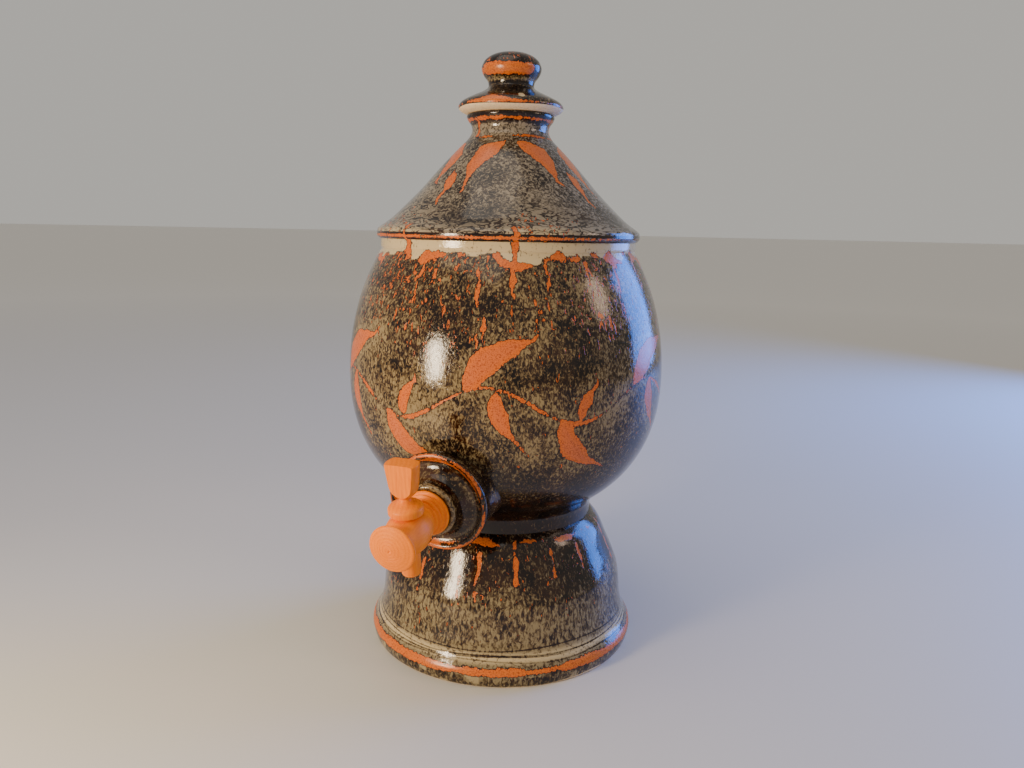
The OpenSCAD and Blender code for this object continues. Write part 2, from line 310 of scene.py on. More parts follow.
def finish_piece(
    piece: bpy.types.Object, finish: bpy.types.Material, node: str, body: str, crease: float = 50
) -> None:
    """Dresses a finished piece and lets it stand for its CAD node.

    Args:
        piece: the piece, in its place.
        finish: its material.
        node: the CAD node that it stands for.
        body: the CAD body that it rides on.
        crease: the angle in degrees past which an edge stays sharp.
    """
    piece.data.materials.clear()
    piece.data.materials.append(finish)
    make_active(piece)
    bpy.ops.object.shade_smooth_by_angle(angle=math.radians(crease))
    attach(piece, body)
    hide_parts(node)
    log.info("%s: %d faces, on body %s", piece.name, len(piece.data.polygons), body)


# ---- marks on the glaze ----


@dataclass
class Skin:
    """Where each vertex of a turned piece lies on its surface, taken while the piece stands on its own axis.

    Args:
        piece: the turned piece.
        outer: its outer outline, used to measure along the surface.
    """

    piece: bpy.types.Object
    outer: Outline
    place_of: np.ndarray = field(init=False)
    azimuth: np.ndarray = field(init=False)
    height: np.ndarray = field(init=False)
    radius: np.ndarray = field(init=False)
    run: np.ndarray = field(init=False)
    outward: np.ndarray = field(init=False)
    upward: np.ndarray = field(init=False)
    rust: np.ndarray = field(init=False)

    def __post_init__(self) -> None:
        """Reads the vertices and starts with no mark."""
        mesh = self.piece.data
        count = len(mesh.vertices)
        place_of = np.empty(count * 3)
        normal = np.empty(count * 3)
        mesh.vertices.foreach_get("co", place_of)
        mesh.vertices.foreach_get("normal", normal)
        self.place_of = place_of.reshape(-1, 3) / MM
        x, y, z = self.place_of.T
        self.azimuth = np.degrees(np.arctan2(x, -y))
        self.height = z
        self.radius = np.hypot(x, y)
        around = np.maximum(self.radius, 1e-6)
        across = normal.reshape(-1, 3)
        self.outward = (across[:, 0] * x + across[:, 1] * y) / around
        self.upward = across[:, 2]
        self.run = self.run_at(z)
        self.rust = np.full(count, UNMARKED)

    def turned_from(self, azimuth: float) -> np.ndarray:
        """The turn from an azimuth, from -180 to 180 degrees."""
        return (self.azimuth - azimuth + 180) % 360 - 180

    def round_from(self, azimuth: float) -> np.ndarray:
        """Distance round the pot from an azimuth, in mm."""
        return np.radians(self.turned_from(azimuth)) * self.radius

    def run_at(self, height: Values) -> Values:
        """Distance along the outline at a height, in mm.

        Args:
            height: one height or many, in mm.

        Returns:
            The distance from the outline's first point, in mm.
        """
        heights = np.array([p[1] for p in self.outer])
        order = np.argsort(heights)
        return np.interp(height, heights[order], run_lengths(self.outer)[order])

    def crumple(self, size: float, seed: int) -> np.ndarray:
        """Chance unevenness over the surface, about -1 to 1.

        Args:
            size: the width of its smallest lumps, in mm.
            seed: its seed.

        Returns:
            Its value at each vertex.
        """
        count = 14
        chance = np.random.default_rng(seed)
        ways = chance.normal(size=(count, 3))
        ways /= np.linalg.norm(ways, axis=1, keepdims=True)
        pace = math.pi / (size * chance.uniform(1.0, 2.4, count))
        phase = chance.uniform(0, 2 * math.pi, count)
        waves = np.sin(self.place_of @ (ways * pace[:, None]).T + phase)
        return np.clip(waves.sum(axis=1) / math.sqrt(count), -1.3, 1.3)

    def mark(self, depth: np.ndarray) -> None:
        """Adds one rust-coloured mark, as how far each vertex lies inside it, in mm."""
        self.rust = np.maximum(self.rust, depth)

    def line(self, height: Values, half: Values) -> None:
        """Adds a line round the pot.

        Args:
            height: its height at each vertex, in mm.
            half: half its width, in mm, negative where it is broken.
        """
        self.mark(half - np.abs(self.height - height))

    def drip(self, azimuth: float, top: float, bottom: float, width: float, lean: float = 0) -> None:
        """Adds a run of glaze down the wall, with a bead at its lower end.

        Args:
            azimuth: where it starts.
            top: height of its upper end.
            bottom: height of its lower end.
            width: its width in mm.
            lean: how far it strays sideways on its way down, in mm.
        """
        share = ramp(self.height, top, bottom)
        aside = self.round_from(azimuth) - lean * share - 0.5 * np.sin(share * 9 + azimuth)
        beyond = self.height - np.clip(self.height, bottom, top)
        half = width * (0.5 - 0.2 * share + 0.22 * self.crumple(3.0, int(azimuth) % 97 + 200))
        self.mark(half - np.hypot(aside, beyond))

    def drips(self, *runs: tuple[float, ...]) -> None:
        """Adds several drips, each with the values that drip takes."""
        for run in runs:
            self.drip(*run)

    def leaf(
        self, azimuth: float, height: float, angle: float, length: float, width: float, bend: float,
        tail: float = 0,
    ) -> None:
        """Adds a plain willow-shaped leaf, as one stroke of a loaded brush.

        Args:
            azimuth: where its stalk is.
            height: height of its stalk.
            angle: the way it points, in degrees above level, measured towards growing azimuth.
            length: its length in mm.
            width: its largest width in mm.
            bend: how far its spine bows, in mm.
            tail: how far the brush trails on past its tip, in mm.
        """
        x, y = self.round_from(azimuth), self.run - self.run_at(height)
        c, s = math.cos(math.radians(angle)), math.sin(math.radians(angle))
        along, across = x * c + y * s, y * c - x * s
        share = ramp(along, 0, length)
        across = across - bend * 4 * share * (1 - share) - 0.35 * np.clip(along - length, 0, tail)
        half = width / 2 * np.sin(np.pi * share**0.72) ** 0.85
        half = half + 0.7 * (self.crumple(4.0, 7) - 0.2) * (half > 1.0)
        trail = 1.1 - 0.9 * ramp(along, length, length + max(tail, 1))
        half = np.maximum(half, np.where(share > 0.5, trail, 0.2) if tail else 0.2)
        beyond = along - np.clip(along, 0, length + tail)
        self.mark(np.where(np.abs(beyond) > 0, -np.hypot(beyond, across), half - np.abs(across)))

    def store(
        self, pale: Values, fleck: Values, flow: Values = 0.0, bare: Values = COVERED,
        inside: np.ndarray | bool = False,
    ) -> None:
        """Writes the marks, and the shares of each kind of glaze, as attributes that the glaze reads.

        Args:
            pale: how thin and pale the glaze is.
            fleck: how many rust flecks it has.
            flow: how far it has curdled, from 0 to 1.
            bare: how far the clay lies bare beyond the glaze's edge, in mm.
            inside: where the wall faces inwards, dark and without marks.
        """
        fields = {"rust": (self.rust, UNMARKED), "pale": (pale, 0.1), "fleck": (fleck, 0), "flow": (flow, 0)}
        for name, (shown, hidden) in {**fields, "bare": (bare, bare)}.items():
            values = np.broadcast_to(np.where(inside, hidden, shown), self.rust.shape)
            layer = self.piece.data.attributes.new(name, "FLOAT", "POINT")
            layer.data.foreach_set("value", values.astype(np.float32))


# ---- finishes ----


def linear(colour: str) -> tuple[float, float, float, float]:
    """An sRGB hex colour as the linear values that a shader takes."""
    parts = [int(colour[i : i + 2], 16) / 255 for i in (1, 3, 5)]
    return tuple(c / 12.92 if c <= 0.04045 else ((c + 0.055) / 1.055) ** 2.4 for c in parts) + (1.0,)


def per_mm(size: float) -> float:
    """The scale of a pattern whose cells are this many millimetres wide."""
    return 1 / (size * MM)


def add(
    tree: bpy.types.NodeTree, kind: str, inputs: dict | None = None, output: int | str = 0,
    **settings: object,
) -> Socket | None:
    """Adds a node with its settings and links.

    Args:
        tree: the node tree.
        kind: the node's type, without the ShaderNode that all of them start with.
        inputs: for each input socket, by name or number, its value or the socket that feeds it. Text is
            taken as an sRGB hex colour.
        output: the output socket to hand back, by name or number.
        settings: the node's own settings.

    Returns:
        The output socket, or None where the node has none.
    """
    node = tree.nodes.new(f"ShaderNode{kind}")
    for name, value in settings.items():
        setattr(node, name, value)
    for key, value in (inputs or {}).items():
        if isinstance(value, Socket):
            tree.links.new(value, node.inputs[key])
        else:
            node.inputs[key].default_value = linear(value) if isinstance(value, str) else value
    return node.outputs[output] if node.outputs else None


def new_material(name: str) -> tuple[bpy.types.Material, AddNode]:
    """An empty material, and the function that adds nodes to it.

    Args:
        name: the material's name.

    Returns:
        The material, and add with the material's node tree filled in.
    """
    material = bpy.data.materials.new(name)
    material.use_nodes = True
    material.node_tree.nodes.clear()
    return material, partial(add, material.node_tree)


@dataclass(frozen=True)
class IronGlaze:
    """High-fired iron glaze on thrown stoneware.

    It is poured on thick and runs: black-brown where it pools, olive and stone-grey where it lies thin over
    ash, and rust-orange with a dark rim where the iron breaks through. It is glossy, and dimpled like orange
    peel, so that a highlight breaks up at its edge.
    """

    name: str
    dark: str = "#120804"
    brown: str = "#2c190c"
    middle: str = "#4a3924"
    pale: str = "#8a7855"
    cream: str = "#c6b289"
    rust: str = "#d26818"
    rust_deep: str = "#8c3a0c"
    rust_thick: str = "#cb6830"
    clay: str = "#ecd6b2"
    clay_shade: str = "#d3b88e"
    speck_mm: float = 1.5
    stretch: float = 1.5
    cloud_mm: float = 16
    roughness: float = 0.07
    ior: float = 1.46

    def material(self) -> bpy.types.Material:
        """Builds the glaze from the attributes rust, pale, fleck, flow and bare.

        Returns:
            The material.
        """
        material, node = new_material(self.name)
        place_of = node("TexCoord", output="Object")
        rust, pale, fleck, flow, bare = (
            node("Attribute", output="Fac", attribute_name=name)
            for name in ("rust", "pale", "fleck", "flow", "bare")
        )
        speck, ground = self.ground(node, place_of, pale, flow)
        core, rim = self.marks(node, place_of, rust, fleck)
        # Rust: bright at the edge, duller and pinker where it is thick, with deep specks
        inner = node("MapRange", {0: rust, 1: 0.6, 2: 4.0})
        orange = node("Mix", {0: inner, 6: self.rust, 7: self.rust_thick}, 2, data_type="RGBA")
        grain = {"Vector": place_of, "Scale": per_mm(0.8), "Detail": 2.0, "Roughness": 0.7}
        tone = node("MapRange", {0: node("TexNoise", grain), 1: 0.33, 2: 0.53})
        orange = node("Mix", {0: tone, 6: self.rust_deep, 7: orange}, 2, data_type="RGBA")
        rimmed = node("Mix", {0: rim, 6: ground, 7: self.dark}, 2, data_type="RGBA")
        glaze = node("Mix", {0: core, 6: rimmed, 7: orange}, 2, data_type="RGBA")
        bare_mask = node("MapRange", {0: bare, 1: -0.15, 2: 0.15}, **SMOOTH_STEP)
        clay = node("Mix", {0: tone, 6: self.clay_shade, 7: self.clay}, 2, data_type="RGBA")
        colour = node("Mix", {0: bare_mask, 6: glaze, 7: clay}, 2, data_type="RGBA")
        # Surface: slow swells 30 mm wide, orange peel, specks, and rust marks slightly sunk
        swell = node("TexNoise", {"Vector": place_of, "Scale": per_mm(30), "Detail": 1.0})
        peel = node("TexNoise", {"Vector": place_of, "Scale": per_mm(2.4), "Detail": 2.0})
        relief = 0.0
        for pattern, depth_mm in ((swell, 0.6), (peel, 0.05), (speck, 0.07), (core, -0.04)):
            relief = node("Math", {0: pattern, 1: depth_mm, 2: relief}, operation="MULTIPLY_ADD")
        bump = node("Bump", {"Strength": 1.0, "Distance": MM, "Height": relief})
        matt = self.roughness
        for mask, more in ((core, 0.18), (bare_mask, 0.6)):
            matt = node("Math", {0: mask, 1: more, 2: matt}, operation="MULTIPLY_ADD")
        look = {"Base Color": colour, "Roughness": matt, "Normal": bump, "IOR": self.ior}
        node("OutputMaterial", {"Surface": node("BsdfPrincipled", look)})
        return material

    def ground(self, node: AddNode, place_of: Socket, pale: Socket, flow: Socket) -> tuple[Socket, Socket]:
        """The glaze without its rust, from black-brown to cream.

        Args:
            node: adds a node to the material.
            place_of: the place on the object.
            pale: how thin and pale the glaze is.
            flow: how far it has curdled.

        Returns:
            The height of the specks, and the colour.
        """
        # Mottle: fine specks drawn out down the wall, denser in clouds
        hung = node("Mapping", {"Vector": place_of, "Scale": (1, 1, 1 / self.stretch)})
        grain = {"Scale": per_mm(self.speck_mm), "Detail": 3.0, "Roughness": 0.62, "Distortion": 0.7}
        speck = node("TexNoise", {"Vector": hung, **grain})
        cloud = node("TexNoise", {"Vector": place_of, "Scale": per_mm(self.cloud_mm), "Detail": 2.5})
        drift = node("Math", {0: cloud, 1: 0.7, 2: -1.85}, operation="MULTIPLY_ADD")
        mottle = node("Math", {0: speck, 1: 3.0, 2: drift}, operation="MULTIPLY_ADD")
        # Curdled glaze: dark worm-like lines that lie level where the glaze has crept
        level = node("Mapping", {"Vector": place_of, "Scale": (0.5, 0.5, 1.5)})
        grain = {"Scale": per_mm(5.4), "Detail": 2.0, "Roughness": 0.5, "Distortion": 1.8}
        worms = node("TexNoise", {"Vector": level, **grain})
        off_line = node("Math", {0: worms, 1: 0.5}, operation="SUBTRACT")
        off_line = node("Math", {0: off_line}, operation="ABSOLUTE")
        curd = node("Math", {0: off_line, 1: 13.0, 2: -0.75}, operation="MULTIPLY_ADD")
        curd = node("Math", {0: curd, 1: 0.12}, operation="MINIMUM")
        shown = node("Mix", {0: flow, 2: mottle, 3: curd}, data_type="FLOAT")
        shown = node("Math", {0: shown, 1: pale}, operation="ADD")
        thin_mask = node("MapRange", {0: shown, 1: 0.24, 2: 0.44}, **SMOOTH_STEP)
        pale_mask = node("MapRange", {0: shown, 1: 0.42, 2: 0.9}, **SMOOTH_STEP)
        cast = node("MapRange", {0: cloud, 1: 0.4, 2: 0.64})
        dark = node("Mix", {0: cast, 6: self.dark, 7: self.brown}, 2, data_type="RGBA")
        thick = node("Mix", {0: thin_mask, 6: dark, 7: self.middle}, 2, data_type="RGBA")
        ashy = node("MapRange", {0: pale, 1: 0.8, 2: 1.05})
        light = node("Mix", {0: ashy, 6: self.pale, 7: self.cream}, 2, data_type="RGBA")
        return speck, node("Mix", {0: pale_mask, 6: thick, 7: light}, 2, data_type="RGBA")

    def marks(self, node: AddNode, place_of: Socket, rust: Socket, fleck: Socket) -> tuple[Socket, Socket]:
        """Where iron breaks through: small flecks, and the marks laid on with the brush.

        Args:
            node: adds a node to the material.
            place_of: the place on the object.
            rust: how far inside a mark the place is, in mm.
            fleck: how many flecks there are.

        Returns:
            Where the rust shows, and where it or the dark rim round it shows.
        """
        # Flecks that have run, four times as long as wide
        run = node("Mapping", {"Vector": place_of, "Scale": (1, 1, 1 / 4)})
        grain = {"Scale": per_mm(2.4), "Detail": 3.0, "Roughness": 0.6, "Distortion": 0.6}
        streak = node("TexNoise", {"Vector": run, **grain})
        streak = node("Math", {0: streak, 1: 2.0, 2: fleck}, operation="MULTIPLY_ADD")
        # Marks: the painted distance, frayed by a millimetre or so into teeth that hang down
        teeth = node("Mapping", {"Vector": place_of, "Scale": (1, 1, 0.4)})
        fray = node("TexNoise", {"Vector": teeth, "Scale": per_mm(1.6), "Detail": 3.0, "Roughness": 0.6})
        fray = node("Math", {0: fray, 1: 3.4, 2: -1.7}, operation="MULTIPLY_ADD")
        edge = node("Math", {0: rust, 1: fray}, operation="ADD")
        masks = []
        for fleck_limits, mark_limits in (((2.0, 2.05), (-0.08, 0.14)), ((1.9, 1.96), (-0.55, -0.25))):
            in_fleck, in_mark = (
                node("MapRange", {0: pattern, 1: low, 2: high}, **SMOOTH_STEP)
                for pattern, (low, high) in ((streak, fleck_limits), (edge, mark_limits))
            )
            masks.append(node("Math", {0: in_fleck, 1: in_mark}, operation="MAXIMUM"))
        return tuple(masks)


@dataclass(frozen=True)
class TurnedWood:
    """Steamed beech, turned on a lathe and thinly oiled: growth rings, short fibres and fine tool rings."""

    name: str
    early: str = "#fb8b0e"
    late: str = "#de6702"
    pith: tuple[float, float] = (28, 11)
    ring_mm: float = 2.6
    tool_mm: float = 0.8
    ior: float = 1.3

    @staticmethod
    def wave_scale(spacing_mm: float) -> float:
        """The scale of a wave pattern whose rings are this many millimetres apart."""
        return 0.314 / (spacing_mm * MM)

    def material(self, axis: Matrix) -> bpy.types.Material:
        """Builds the wood.

        Args:
            axis: the lathe's axis in the row's frame, with +Z along the wood.

        Returns:
            The material.
        """
        material, node = new_material(self.name)
        place_of = node("TexCoord", output="Object")
        turned = {"Vector": place_of, "Location": axis.to_translation(), "Rotation": axis.to_euler()}
        lathe = node("Mapping", turned, vector_type="TEXTURE")
        # The growth rings lie about the pith, which need not be on the lathe's axis
        aside, beyond = self.pith
        blank = node("Mapping", {"Vector": lathe, "Location": (aside * MM, beyond * MM, 0)})
        wavy = {"Distortion": 1.6, "Detail": 2.0, "Detail Scale": 1.2}
        rings = node(
            "TexWave", {"Vector": blank, "Scale": self.wave_scale(self.ring_mm), **wavy}, "Fac",
            wave_type="RINGS", rings_direction="Z",
        )
        along = node("Mapping", {"Vector": lathe, "Scale": (1, 1, 0.07)})
        fibre = node("TexNoise", {"Vector": along, "Scale": per_mm(0.7), "Detail": 3.0})
        figure = -0.35
        for pattern, share in ((rings, 0.28), (fibre, 1.2)):
            figure = node("Math", {0: pattern, 1: share, 2: figure}, operation="MULTIPLY_ADD")
        colour = node("Mix", {0: figure, 6: self.early, 7: self.late}, 2, data_type="RGBA")
        tool = node(
            "TexWave", {"Vector": lathe, "Scale": self.wave_scale(self.tool_mm), "Distortion": 0.4},
            "Fac", wave_type="BANDS", bands_direction="Z",
        )
        relief = 0.0
        for pattern, depth_mm in ((tool, 0.012), (fibre, 0.05)):
            relief = node("Math", {0: pattern, 1: depth_mm, 2: relief}, operation="MULTIPLY_ADD")
        bump = node("Bump", {"Strength": 0.8, "Distance": MM, "Height": relief})
        matt = node("MapRange", {0: fibre, 1: 0.3, 2: 0.7, 3: 0.38, 4: 0.52})
        look = {"Base Color": colour, "Roughness": matt, "Normal": bump, "IOR": self.ior}
        node("OutputMaterial", {"Surface": node("BsdfPrincipled", look)})
        return material


@dataclass(frozen=True)
class Rubber:
    """Cut sheet rubber: dull, with a faint bloom."""

    name: str
    colour: str = "#5b2f20"
    bloom: str = "#7a4b38"

    def material(self) -> bpy.types.Material:
        """Builds the rubber.

        Returns:
            The material.
        """
        material, node = new_material(self.name)
        place_of = node("TexCoord", output="Object")
        cloud = node("TexNoise", {"Vector": place_of, "Scale": per_mm(3), "Detail": 4.0})
        share = node("MapRange", {0: cloud, 1: 0.4, 2: 0.7})
        colour = node("Mix", {0: share, 6: self.colour, 7: self.bloom}, 2, data_type="RGBA")
        bump = node("Bump", {"Strength": 0.3, "Distance": 0.1 * MM, "Height": cloud})
        look = {"Base Color": colour, "Roughness": 0.62, "Normal": bump}
        node("OutputMaterial", {"Surface": node("BsdfPrincipled", look)})
        return material


class Slot(Enum):
    """Names for material slots."""

    POT = "pot_glaze"
    LID = "lid_glaze"
    WOOD = "tap_wood"
    RUBBER = "washer_rubber"


# ---- the thrown pot ----


@dataclass
class Pedestal:
    """The bell that carries the globe, open underneath, on a flanged foot."""

    foot_r: float = 91.6
    flange_r: float = 93.7
    bell_r: float = 84.8
    waist_r: float = 62.4
    height: float = 91.5
    wall: float = 8.5

    def outer(self) -> Outline:
        """The outer outline, from the foot ring up to the waist.

        Returns:
            Points of radius and height, in mm.
        """
        foot = shares([(0, 0), (0.667, 0.0437), (1, 0.0874)], self.foot_r, self.flange_r, 0, self.height)
        ledge = [
            (0.056, 0.1202), (0.292, 0.1585), (0.562, 0.2022), (0.753, 0.2623), (0.921, 0.3388), (1, 0.4372),
        ]
        bell = [
            (0.0625, 0.5464), (0.2232, 0.6557), (0.4241, 0.765), (0.6161, 0.8743), (0.7589, 0.9344),
            (0.9375, 0.9825), (1.0268, 1),
        ]
        return smooth(
            foot
            + shares(ledge, self.flange_r, self.bell_r, 0, self.height)
            + shares(bell, self.bell_r, self.waist_r, 0, self.height)
        )

    def build(self) -> None:
        """Throws the bell and glazes it."""
        outer = self.outer()
        foot = [(self.foot_r - 0.9, 0), (self.foot_r - 0.1, 0.7)]
        skin_line = refine(even(foot + outer[2:], 1.0), 12, 28, 3)
        inner = even(inset(outer, self.wall), 5)
        back = [(self.waist_r - self.wall, self.height)] + between(inner, 3, self.height - 4)[::-1]
        back.append((self.foot_r - self.wall + 0.6, 0))
        piece = turn("pedestal_skin", skin_line + back, 400, closed=True)
        self.glaze(Skin(piece, outer))
        glaze = IronGlaze(
            "pedestal_iron_glaze", pale="#857758", rust_thick="#cd7024", speck_mm=1.8, stretch=2.2
        )
        finish_piece(piece, glaze.material(), "pedestal", "pot")

    def glaze(self, skin: Skin) -> None:
        """Marks the bell: dark above with rust runs, thin and pale below, with a rust band on the flange.

        Args:
            skin: the surface that takes the marks.
        """
        z = skin.height
        inside = (skin.outward < -0.1) & (skin.radius < self.foot_r - 4)
        # Broken rust line on the shoulder of the bell, and its runs
        skin.line(self.height - 4.3 + 1.1 * skin.crumple(9, 1), 0.25 + 1.25 * skin.crumple(7, 2))
        skin.drips(
            (27.6, 87, 64, 3.0, 0.4), (9.6, 81, 62, 3.2, -1.2), (8.8, 58, 52.5, 1.9), (12.1, 57, 52.5, 1.9),
            (47.6, 81, 66, 1.8, 0.3), (65, 82, 67, 2.2, 1.5), (0.2, 66, 55, 2.2, -0.6),
            (-22, 72, 51, 2.0, 1.2), (-52, 86, 60, 2.8, -0.8), (-78, 84, 66, 2.2, 0.4),
            (96, 87, 60, 3.0, 0.8), (118, 84, 66, 2.0, -0.5), (141, 86, 57, 3.2, -1.0),
            (163, 82, 68, 2.2, 0.3), (187, 87, 61, 2.8, 0.9), (212, 80, 64, 2.0),
            (238, 86, 58, 3.0, -0.7), (259, 83, 70, 2.2, 0.5),
        )
        # Rust band on the arris of the flange, serrated and black-edged below
        arris_z = 10.9
        worn = 2.2 * np.clip(skin.crumple(16, 5) - 0.55, 0, 1)
        skin.line(arris_z + 0.3 * skin.crumple(8, 3), 2.5 + 0.5 * skin.crumple(6, 4) - worn)
        # Glaze lies dark above and thin below, and pools pale on the ledge between dark rings
        bound = 54 + 5.0 * skin.crumple(14, 6)
        low = 1 / (1 + np.exp((z - bound) / 3.0))
        ledge = hump(z, 18.5, 4.6) * (z > 12)
        pale = np.where(z > self.height - 2.5, 0.2, 0.16 + 0.44 * low) + 0.42 * ledge
        for ring in (16.0, 18.2, 20.2, 23.4):
            drawn = 0.55 + 0.45 * skin.crumple(24, int(ring * 10))
            pale = pale - drawn * hump(z, ring + 1.1 * skin.crumple(32, int(ring)), 0.33)
        # Under the flange, with places where the glaze has run on
        run_on = (skin.crumple(5, 8) > 0.75) & (z < 9)
        pale = np.where(z < 8.6, 0.48 + 0.4 * run_on, pale)
        fleck = 0.62 + 0.05 * (z > 40) - 0.4 * (z < 26)
        bare = np.where(inside | (z < 0.5), 3.0, 1.4 + 1.4 * skin.crumple(12, 9) - z)
        skin.store(pale, fleck, 0.5 * ledge, bare, inside)


@dataclass
class Globe:
    """The water chamber, with its floor and the hole for the tap."""

    pedestal: Pedestal
    radius: float = 107.4
    rise: float = 98.5
    seam_rise: float = 89
    seam_r: float = 85.8
    wall: float = 7
    floor: float = 10
    low_power: float = 2.25
    start: float = 16
    band: float = 6

    @property
    def middle_z(self) -> float:
        """Height of the widest ring."""
        return self.pedestal.height + self.rise

    @property
    def seam_z(self) -> float:
        """Height of the seam with the shoulder."""
        return self.middle_z + self.seam_rise

    def half(self, reach: float, power: float, start: float, end: float) -> Outline:
        """One half of the globe as a power curve, between two angles in degrees.

        Args:
            reach: how far the half reaches from the globe's middle, in mm.
            power: how full the curve is.
            start: the first angle, in degrees.
            end: the last angle, in degrees.

        Returns:
            Points of radius and height, in mm.
        """
        points = []
        for angle in np.radians(np.linspace(start, end, 60)):
            c, s = math.cos(angle), math.sin(angle)
            drop = reach * math.copysign(abs(s) ** (2 / power), s)
            points.append((self.radius * c ** (2 / power), self.middle_z - drop))
        return points

    def outer(self) -> Outline:
        """The outer outline, from the waist up to the seam.

        Returns:
            Points of radius and height, in mm.
        """
        waist_z = self.pedestal.height
        low_reach, high_reach = self.rise * 1.0152, self.seam_rise * 1.5281
        low_angle = math.degrees(math.asin(((self.rise - self.start) / low_reach) ** (self.low_power / 2)))
        high_angle = math.degrees(math.asin((self.seam_rise - self.band) / high_reach))
        low = self.half(low_reach, self.low_power, low_angle, 0)
        high = self.half(high_reach, 2, -0.5, -high_angle)
        foot = shares(
            [(-0.118, 0), (-0.118, 0.25), (0, 0.531), (0.431, 0.775), (1, 1)],
            self.pedestal.waist_r, low[0][0], waist_z, low[0][1],
        )
        seam = [(self.seam_r, self.seam_z - self.band + 1), (self.seam_r, self.seam_z)]
        return smooth(foot) + low[1:] + high + seam

    def build(self, tap_axis: Matrix, hole_r: float, seat: tuple[float, float]) -> None:
        """Throws the globe, bores it for the tap and glazes it.

        Args:
            tap_axis: the tap's axis in the row's frame.
            hole_r: radius of the tap's hole.
            seat: radius of the flat seat inside, and its distance along the tap's axis.
        """
        waist_z, waist_r = self.pedestal.height, self.pedestal.waist_r
        outer = self.outer()
        floor_z = waist_z + self.floor
        inner = between(even(inset(outer, self.wall), 7), floor_z + 4, self.seam_z - self.band)
        inside_line = [(0, floor_z), (waist_r - 18, floor_z), (waist_r - 9, floor_z + 1.6)] + inner + [
            (self.seam_r - self.wall, self.seam_z - self.band + 1), (self.seam_r - self.wall, self.seam_z)
        ]
        piece = turn("globe_skin", [(0, waist_z)] + even(outer, 1.25) + inside_line[::-1], 400)
        self.glaze(Skin(piece, outer))
        carve(piece, rod("tap_hole", hole_r, 40, 130, tap_axis))
        seat_r, seat_s = seat
        deep_s = seat_s + 14
        ring_line = [(hole_r, seat_s), (seat_r, seat_s), (seat_r, deep_s), (hole_r, deep_s)]
        ring = turn("seat_ring", ring_line, 96, closed=True)
        Skin(ring, [(0, 0), (0, 1)]).store(pale=0.05, fleck=0.0)
        place(ring, tap_axis)
        make_active(piece)
        ring.select_set(True)
        bpy.ops.object.join()
        glaze = IronGlaze("globe_iron_glaze", speck_mm=1.45, stretch=1.7)
        finish_piece(piece, glaze.material(), "globe", "pot")

    def glaze(self, skin: Skin) -> None:
        """Marks the globe: a pale band under the seam, runs below it, and a vine of plain leaves.

        Args:
            skin: the surface that takes the marks.
        """
        az, z = skin.azimuth, skin.height
        inside = (skin.outward < -0.05) & (skin.radius < self.radius - 3) & (z < self.seam_z - 0.5)
        inside |= skin.radius < self.pedestal.waist_r - 3
        # Lower edge of the pale band, scalloped and lined with rust
        edge = self.seam_z - 9.5 + ripple(az, ((5, 1.6, 120), (9, 1.7, 30), (16, 1.3, 200), (27, 0.9, 75)))
        slope = 1 + 0.5 * np.abs(ripple(az, ((16, 1.0, 290), (27, 0.9, 165))))
        ragged = 0.7 + 1.4 * skin.crumple(6.5, 11) + 0.8 * skin.crumple(2.5, 12)
        skin.mark(ragged - np.abs(z - edge) / slope)
        skin.drips(
            (23.6, 279, 256, 4.0, -1.0), (22.6, 257, 236, 1.7, 0.6), (-24.5, 279, 268, 4.2, 2.0),
            (-12.6, 268, 243, 1.9, -1.6), (10.4, 262, 243, 1.8, 1.0), (13.4, 236, 213, 1.8, 0.6),
            (35.2, 266, 249, 2.2, 1.2), (31.8, 241, 229, 1.8, -3.2), (-6.6, 262, 244, 1.8, -2.6),
            (52, 268, 246, 1.9, 1.0), (67, 270, 238, 2.2, -1.4), (84, 268, 251, 1.9, 0.6),
            (103, 270, 232, 2.4, 1.6), (121, 266, 249, 1.8, -0.8), (139, 279, 247, 3.2, 1.0),
            (160, 267, 236, 2.0, -1.8), (178, 269, 250, 1.9, 0.7), (197, 270, 229, 2.4, 1.4),
            (216, 266, 246, 1.9, -1.0), (235, 279, 252, 3.4, -1.4), (254, 268, 240, 2.0, 1.1),
            (275, 270, 248, 2.2, -0.6), (296, 267, 235, 2.4, 1.8), (318, 269, 250, 1.9, -1.2),
        )
        self.vine(skin)
        # Paler round the leaves, darker towards the waist, where one smear of thin glaze lies
        pale = 0.4 + 0.1 * skin.crumple(24, 14) + 0.05 * ramp(z, 215, 255)
        pale += 0.2 * hump(skin.rust, -2.5, 5) * (z < 235)
        pale -= 0.26 * ramp(z, 168, 128) + 0.14 * ramp(z, 126, 118)
        pale = np.where(z > edge, 1.12, pale)
        pale += 0.12 * hump(z, 121 + ripple(az, ((4, 3, 0), (9, 1.5, 80))), 1.8)
        fleck = 0.6 + 0.17 * ramp(z, 205, 230) - 0.12 * ramp(z, 150, 130) + 0.07 * skin.crumple(18, 15)
        skin.store(pale, np.where(z > edge, 0.0, fleck), inside=inside)

